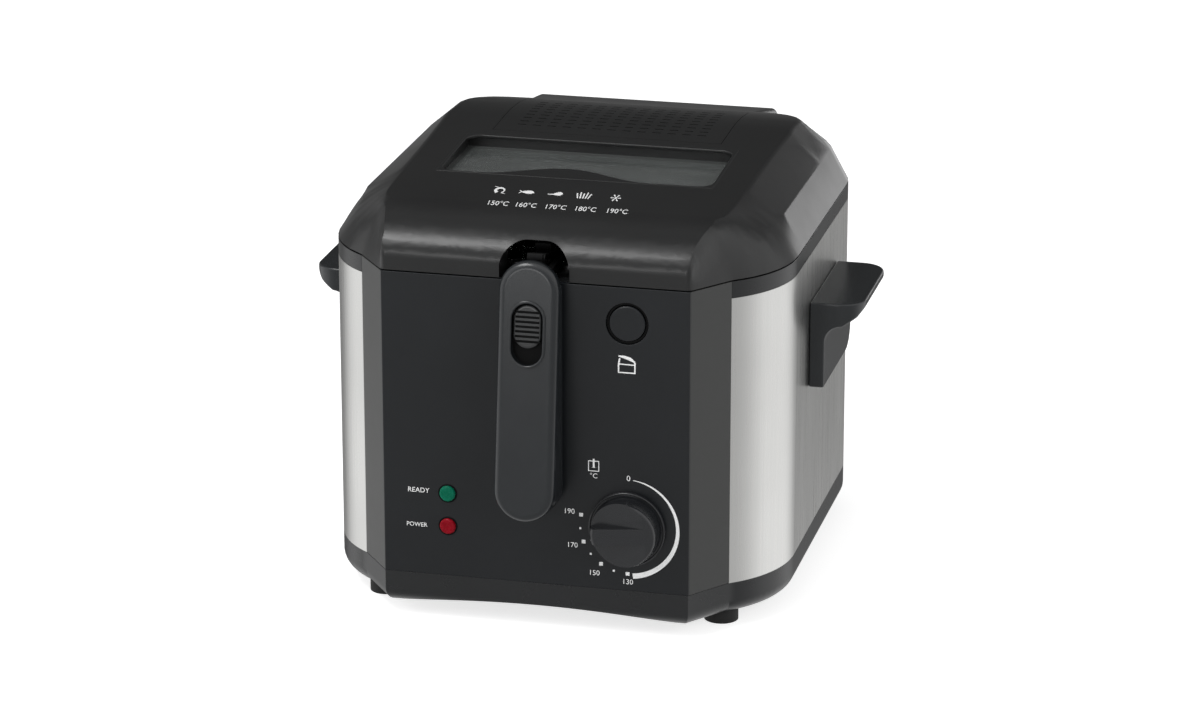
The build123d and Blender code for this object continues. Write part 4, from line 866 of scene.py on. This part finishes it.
def make_slider_lip():
    ring = oval(LIP_HALF, LIP_RUN)
    mesh = tube("slider_lip", ring, [LIP_W] * len(ring), closed=True, sides=3)
    place(mesh, recess_place(LIP_OUT))
    return new_piece("slider_lip", mesh, "basket_handle", "handle_plastic", handle_black)


def make_recess_shade():
    """Painted shade: a thin dark skin, laid where a ray from outside finds the floor of the recess."""
    curve = flat_curve("recess_painted_shade", RECESS_SKIN)
    add_spline(curve, oval(RECESS_HALF, LIP_RUN))
    probe = recess_place(RECESS_PROBE) @ Vector((0, -RECESS_PROBE, 0))
    out = recess_place(0).to_3x3() @ Vector((0, 0, 1))
    depth = skin_of("handle_grip").ray_cast(probe, -out)[3] / MM
    mesh = join_flat("recess_painted_shade", [curve_mesh(curve, "recess_oval")], RECESS_SKIN)
    place(mesh, recess_place(RECESS_PROBE - depth + RECESS_SKIN))
    return new_piece("recess_painted_shade", mesh, "basket_handle", "handle_plastic", inner_black_and_painted_shade)


def make_groove_shades():
    """Painted shade: dark sheets in the slider's grip grooves, laid on the slider."""
    at_rest = Matrix.Translation(-Vector(joint_of["handle_slider_slide"]["axis"]) * SLIDE_HALF * MM)
    above = at_rest @ recess_place(RECESS_PROBE)
    inward = above.to_3x3() @ Vector((0, 0, -1))
    skin = skin_of("handle_slider")
    strip = Matrix.Diagonal((GROOVE_L, GROOVE_W, RECESS_SKIN, 1))
    work = bmesh.new()
    for index in range(GROOVES):
        along = GROOVE_PITCH * (index - (GROOVES - 1) / 2)
        depth = skin.ray_cast(above @ Vector((0, along, 0)), inward)[3] / MM - RECESS_SKIN
        bmesh.ops.create_cube(work, size=1, matrix=Matrix.Translation((0, along, -depth)) @ strip)
    mesh = place(finished_mesh("groove_shades", work), above)
    return new_piece("groove_shades", mesh, "handle_slider", "slider_plastic", inner_black_and_painted_shade)


make_slider_lip()
make_recess_shade()
make_groove_shades()


# Wire basket: round wires in place of the flat nets
WIRE_D = 1.6
WIRE_PITCH = 8.5
WIRE_SIDES = 8
WIRE_CREASE = 50.0
# What lays an upright wire along each axis
WIRE_TURNS = (Matrix.Rotation(pi / 2, 4, "Y"), Matrix.Rotation(pi / 2, 4, "X"), Matrix.Identity(4))


def wire_net(node):
    """Crossing round wires over the whole of a flat net."""
    low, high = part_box(node)
    size = high - low
    radius = WIRE_D * MM / 2
    thin = min(range(3), key=lambda axis: size[axis])
    plane = [axis for axis in range(3) if axis != thin]
    work = bmesh.new()
    for along, across in (plane, reversed(plane)):
        count = round(size[across] / (WIRE_PITCH * MM))
        for index in range(count + 1):
            spot = (low + high) / 2
            spot[across] = low[across] + radius + (size[across] - 2 * radius) * index / count
            spot[thin] += radius / 2 * (1 if along == plane[0] else -1)
            at = Matrix.Translation(spot) @ WIRE_TURNS[along]
            bmesh.ops.create_cone(work, cap_ends=True, segments=WIRE_SIDES, radius1=radius,
                                  radius2=radius, depth=size[along], matrix=at)
    mesh = finished_mesh(f"{node}_wires", work)
    mesh.shade_smooth()
    mesh.set_sharp_from_angle(angle=radians(WIRE_CREASE))
    piece = new_piece(f"{node}_wires", mesh, "basket", "basket_wire", wire_metal)
    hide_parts(node)


for net in ("basket_floor", "basket_front", "basket_rear", "basket_left", "basket_right"):
    wire_net(net)


# Rings: painted shade round the lamp lenses, and the rim of the knob's flange
SHADE_RING_R = 5.3
SHADE_RING_W = 0.9
RING_STEPS = 48
KNOB_RIM_R = 21.8
KNOB_RIM_W = 1.3
KNOB_RIM_OUT = 2.8


def ring_mesh(name, node, radius, width, out_by):
    """A round ring about a node's middle, a distance out of the front panel."""
    turns = [2 * pi * step / RING_STEPS for step in range(RING_STEPS)]
    ring = [(radius * cos(turn), radius * sin(turn), 0) for turn in turns]
    mesh = tube(name, ring, [width] * RING_STEPS, closed=True, sides=3)
    return place(mesh, on_panel(middle(node), out_by))


# Painted shade: a dark ring round each lamp lens
for lamp in ("green_lamp", "red_lamp"):
    rim = ring_mesh(f"{lamp}_ring", f"{lamp}_lens", SHADE_RING_R, SHADE_RING_W, 0.0)
    new_piece(f"{lamp}_ring", rim, "housing", "panel_plastic", inner_black_and_painted_shade)
flange_rim = ring_mesh("knob_rim", "control_knob", KNOB_RIM_R, KNOB_RIM_W, KNOB_RIM_OUT)
new_piece("knob_rim", flange_rim, body_of["control_knob"], slot_of["control_knob"], knob_black)


# Studio; places and the floor's size are in metres
CAMERA_OUT = Vector((0.6002, -2.34775, 0.9684))
CAMERA_BACK = Vector((0.2209, -0.9229, 0.3153))
CAMERA_UP = Vector((-0.0734, 0.3066, 0.9490))
CAMERA_RIGHT = Vector((0.9725, 0.2328, 0.0))
CAMERA_REACH = 100.0
LENS = 135.0
SENSOR = 36.0
FLOOR_HALF = 12.0
FLOOR_GLOW = 0.7
WORLD_FILL = 0.35
# Rays that show the floor and the room as white
SEEN_RAYS = ("Is Camera Ray", "Is Transmission Ray")
# Brightness that gloss finds in the room, by the share of its direction along an axis
ROOM_AXIS = (-0.25, 0.9, 0.35)
ROOM_GLOSS = ((-1.0, 0.5), (-0.8, 0.45), (-0.5, 0.62), (-0.2, 1.0), (0.4, 1.0), (0.55, 0.62),
              (0.66, 0.16), (0.75, 0.2), (0.87, 0.3), (0.95, 0.1), (1.0, 0.06))


def make_camera():
    camera = bpy.data.cameras.new("camera")
    camera.lens = LENS
    camera.sensor_width = SENSOR
    camera.clip_end = CAMERA_REACH
    holder = bpy.data.objects.new("camera", camera)
    turn = Matrix((CAMERA_RIGHT, CAMERA_UP, CAMERA_BACK)).transposed().to_4x4()
    holder.matrix_world = Matrix.Translation(CAMERA_OUT + Vector((0, front_y, 0))) @ turn
    bpy.context.scene.collection.objects.link(holder)
    bpy.context.scene.camera = holder


def light_path_mask(tree, outputs):
    """One value that is 1 for any of the named kinds of ray."""
    path = tree.nodes.new("ShaderNodeLightPath")
    socket = path.outputs[outputs[0]]
    for name in outputs[1:]:
        either = tree.nodes.new("ShaderNodeMath")
        either.operation = "MAXIMUM"
        tree.links.new(socket, either.inputs[0])
        tree.links.new(path.outputs[name], either.inputs[1])
        socket = either.outputs[0]
    return socket


def axis_ramp(tree, vector, axis, stops):
    """A brightness that follows a direction along an axis, through (share, value) stops."""
    along = tree.nodes.new("ShaderNodeVectorMath")
    along.operation = "DOT_PRODUCT"
    along.inputs[1].default_value = axis
    tree.links.new(vector, along.inputs[0])
    first, last = stops[0][0], stops[-1][0]
    share = tree.nodes.new("ShaderNodeMapRange")
    share.inputs["From Min"].default_value = first
    share.inputs["From Max"].default_value = last
    tree.links.new(along.outputs["Value"], share.inputs["Value"])
    ramp = tree.nodes.new("ShaderNodeValToRGB")
    elements = ramp.color_ramp.elements
    for spot, value in stops[1:-1]:
        elements.new((spot - first) / (last - first))
    for element, (spot, value) in zip(elements, stops):
        element.color = (value, value, value, 1)
    tree.links.new(share.outputs["Result"], ramp.inputs["Fac"])
    return ramp.outputs["Color"]


def make_floor():
    """White floor that keeps a soft shadow; gloss looks past it into the room."""
    work = bmesh.new()
    bmesh.ops.create_grid(work, x_segments=1, y_segments=1, size=FLOOR_HALF)
    mesh = finished_mesh("floor", work)
    floor = bpy.data.objects.new("floor", mesh)
    bpy.context.scene.collection.objects.link(floor)
    material, tree, shader, coords = blank_material("floor_white")
    shader.inputs["Roughness"].default_value = 0.9
    shader.inputs["Specular IOR Level"].default_value = 0.0
    vary_colour(tree, shader, noise(tree, coords, 1.5), (0.78, 0.78, 0.78), (0.8, 0.8, 0.8))
    shader.inputs["Emission Color"].default_value = (1, 1, 1, 1)
    glow = tree.nodes.new("ShaderNodeMath")
    glow.operation = "MULTIPLY"
    glow.inputs[1].default_value = FLOOR_GLOW
    tree.links.new(light_path_mask(tree, SEEN_RAYS), glow.inputs[0])
    tree.links.new(glow.outputs[0], shader.inputs["Emission Strength"])
    mesh.materials.append(material)
    floor.visible_glossy = False


def make_world():
    """Even pale light, white to the camera; gloss finds bright sides between a dim front and rear."""
    world = bpy.data.worlds.new("studio")
    bpy.context.scene.world = world
    world.use_nodes = True
    tree = world.node_tree
    even = tree.nodes["Background"]
    even.inputs["Color"].default_value = (1, 1, 1, 1)
    level = tree.nodes.new("ShaderNodeMapRange")
    level.inputs["To Min"].default_value = WORLD_FILL
    level.inputs["To Max"].default_value = 1.0
    tree.links.new(light_path_mask(tree, SEEN_RAYS), level.inputs["Value"])
    tree.links.new(level.outputs["Result"], even.inputs["Strength"])
    gloss = tree.nodes.new("ShaderNodeBackground")
    direction = tree.nodes.new("ShaderNodeTexCoord").outputs["Generated"]
    tree.links.new(axis_ramp(tree, direction, ROOM_AXIS, ROOM_GLOSS), gloss.inputs["Color"])
    either = tree.nodes.new("ShaderNodeMixShader")
    tree.links.new(light_path_mask(tree, ("Is Glossy Ray",)), either.inputs["Fac"])
    tree.links.new(even.outputs["Background"], either.inputs[1])
    tree.links.new(gloss.outputs["Background"], either.inputs[2])
    tree.links.new(either.outputs["Shader"], tree.nodes["World Output"].inputs["Surface"])


def soft_box(name, at, aim, size, power, in_gloss=False):
    """A large flat lamp that looks at a point, and may show in gloss."""
    lamp = bpy.data.lights.new(name, "AREA")
    lamp.shape = "RECTANGLE"
    lamp.size, lamp.size_y = size
    lamp.energy = power
    holder = bpy.data.objects.new(name, lamp)
    look = (Vector(aim) - Vector(at)).to_track_quat("-Z", "Y")
    holder.matrix_world = Matrix.Translation(Vector(at)) @ look.to_matrix().to_4x4()
    holder.visible_glossy = in_gloss
    holder.visible_camera = False
    bpy.context.scene.collection.objects.link(holder)


def make_studio():
    bpy.context.scene.view_settings.view_transform = "Standard"
    make_camera()
    make_floor()
    make_world()
    soft_box("top_box", (-0.75, -0.65, 1.9), (0, -0.1, 0.2), (1.1, 0.7), 16, in_gloss=True)
    soft_box("front_card", (-0.25, -1.2, 0.33), (0, -0.15, 0.2), (0.5, 0.28), 1.1, in_gloss=True)
    soft_box("rear_card", (0.55, 1.15, 0.16), (0.13, 0, 0.22), (0.9, 0.24), 1.1, in_gloss=True)
    soft_box("left_box", (-1.8, -0.9, 0.9), (0, 0, 0.15), (1.0, 1.4), 14)
    soft_box("right_box", (1.7, -1.2, 0.9), (0, 0, 0.15), (0.9, 1.4), 14)


make_studio()
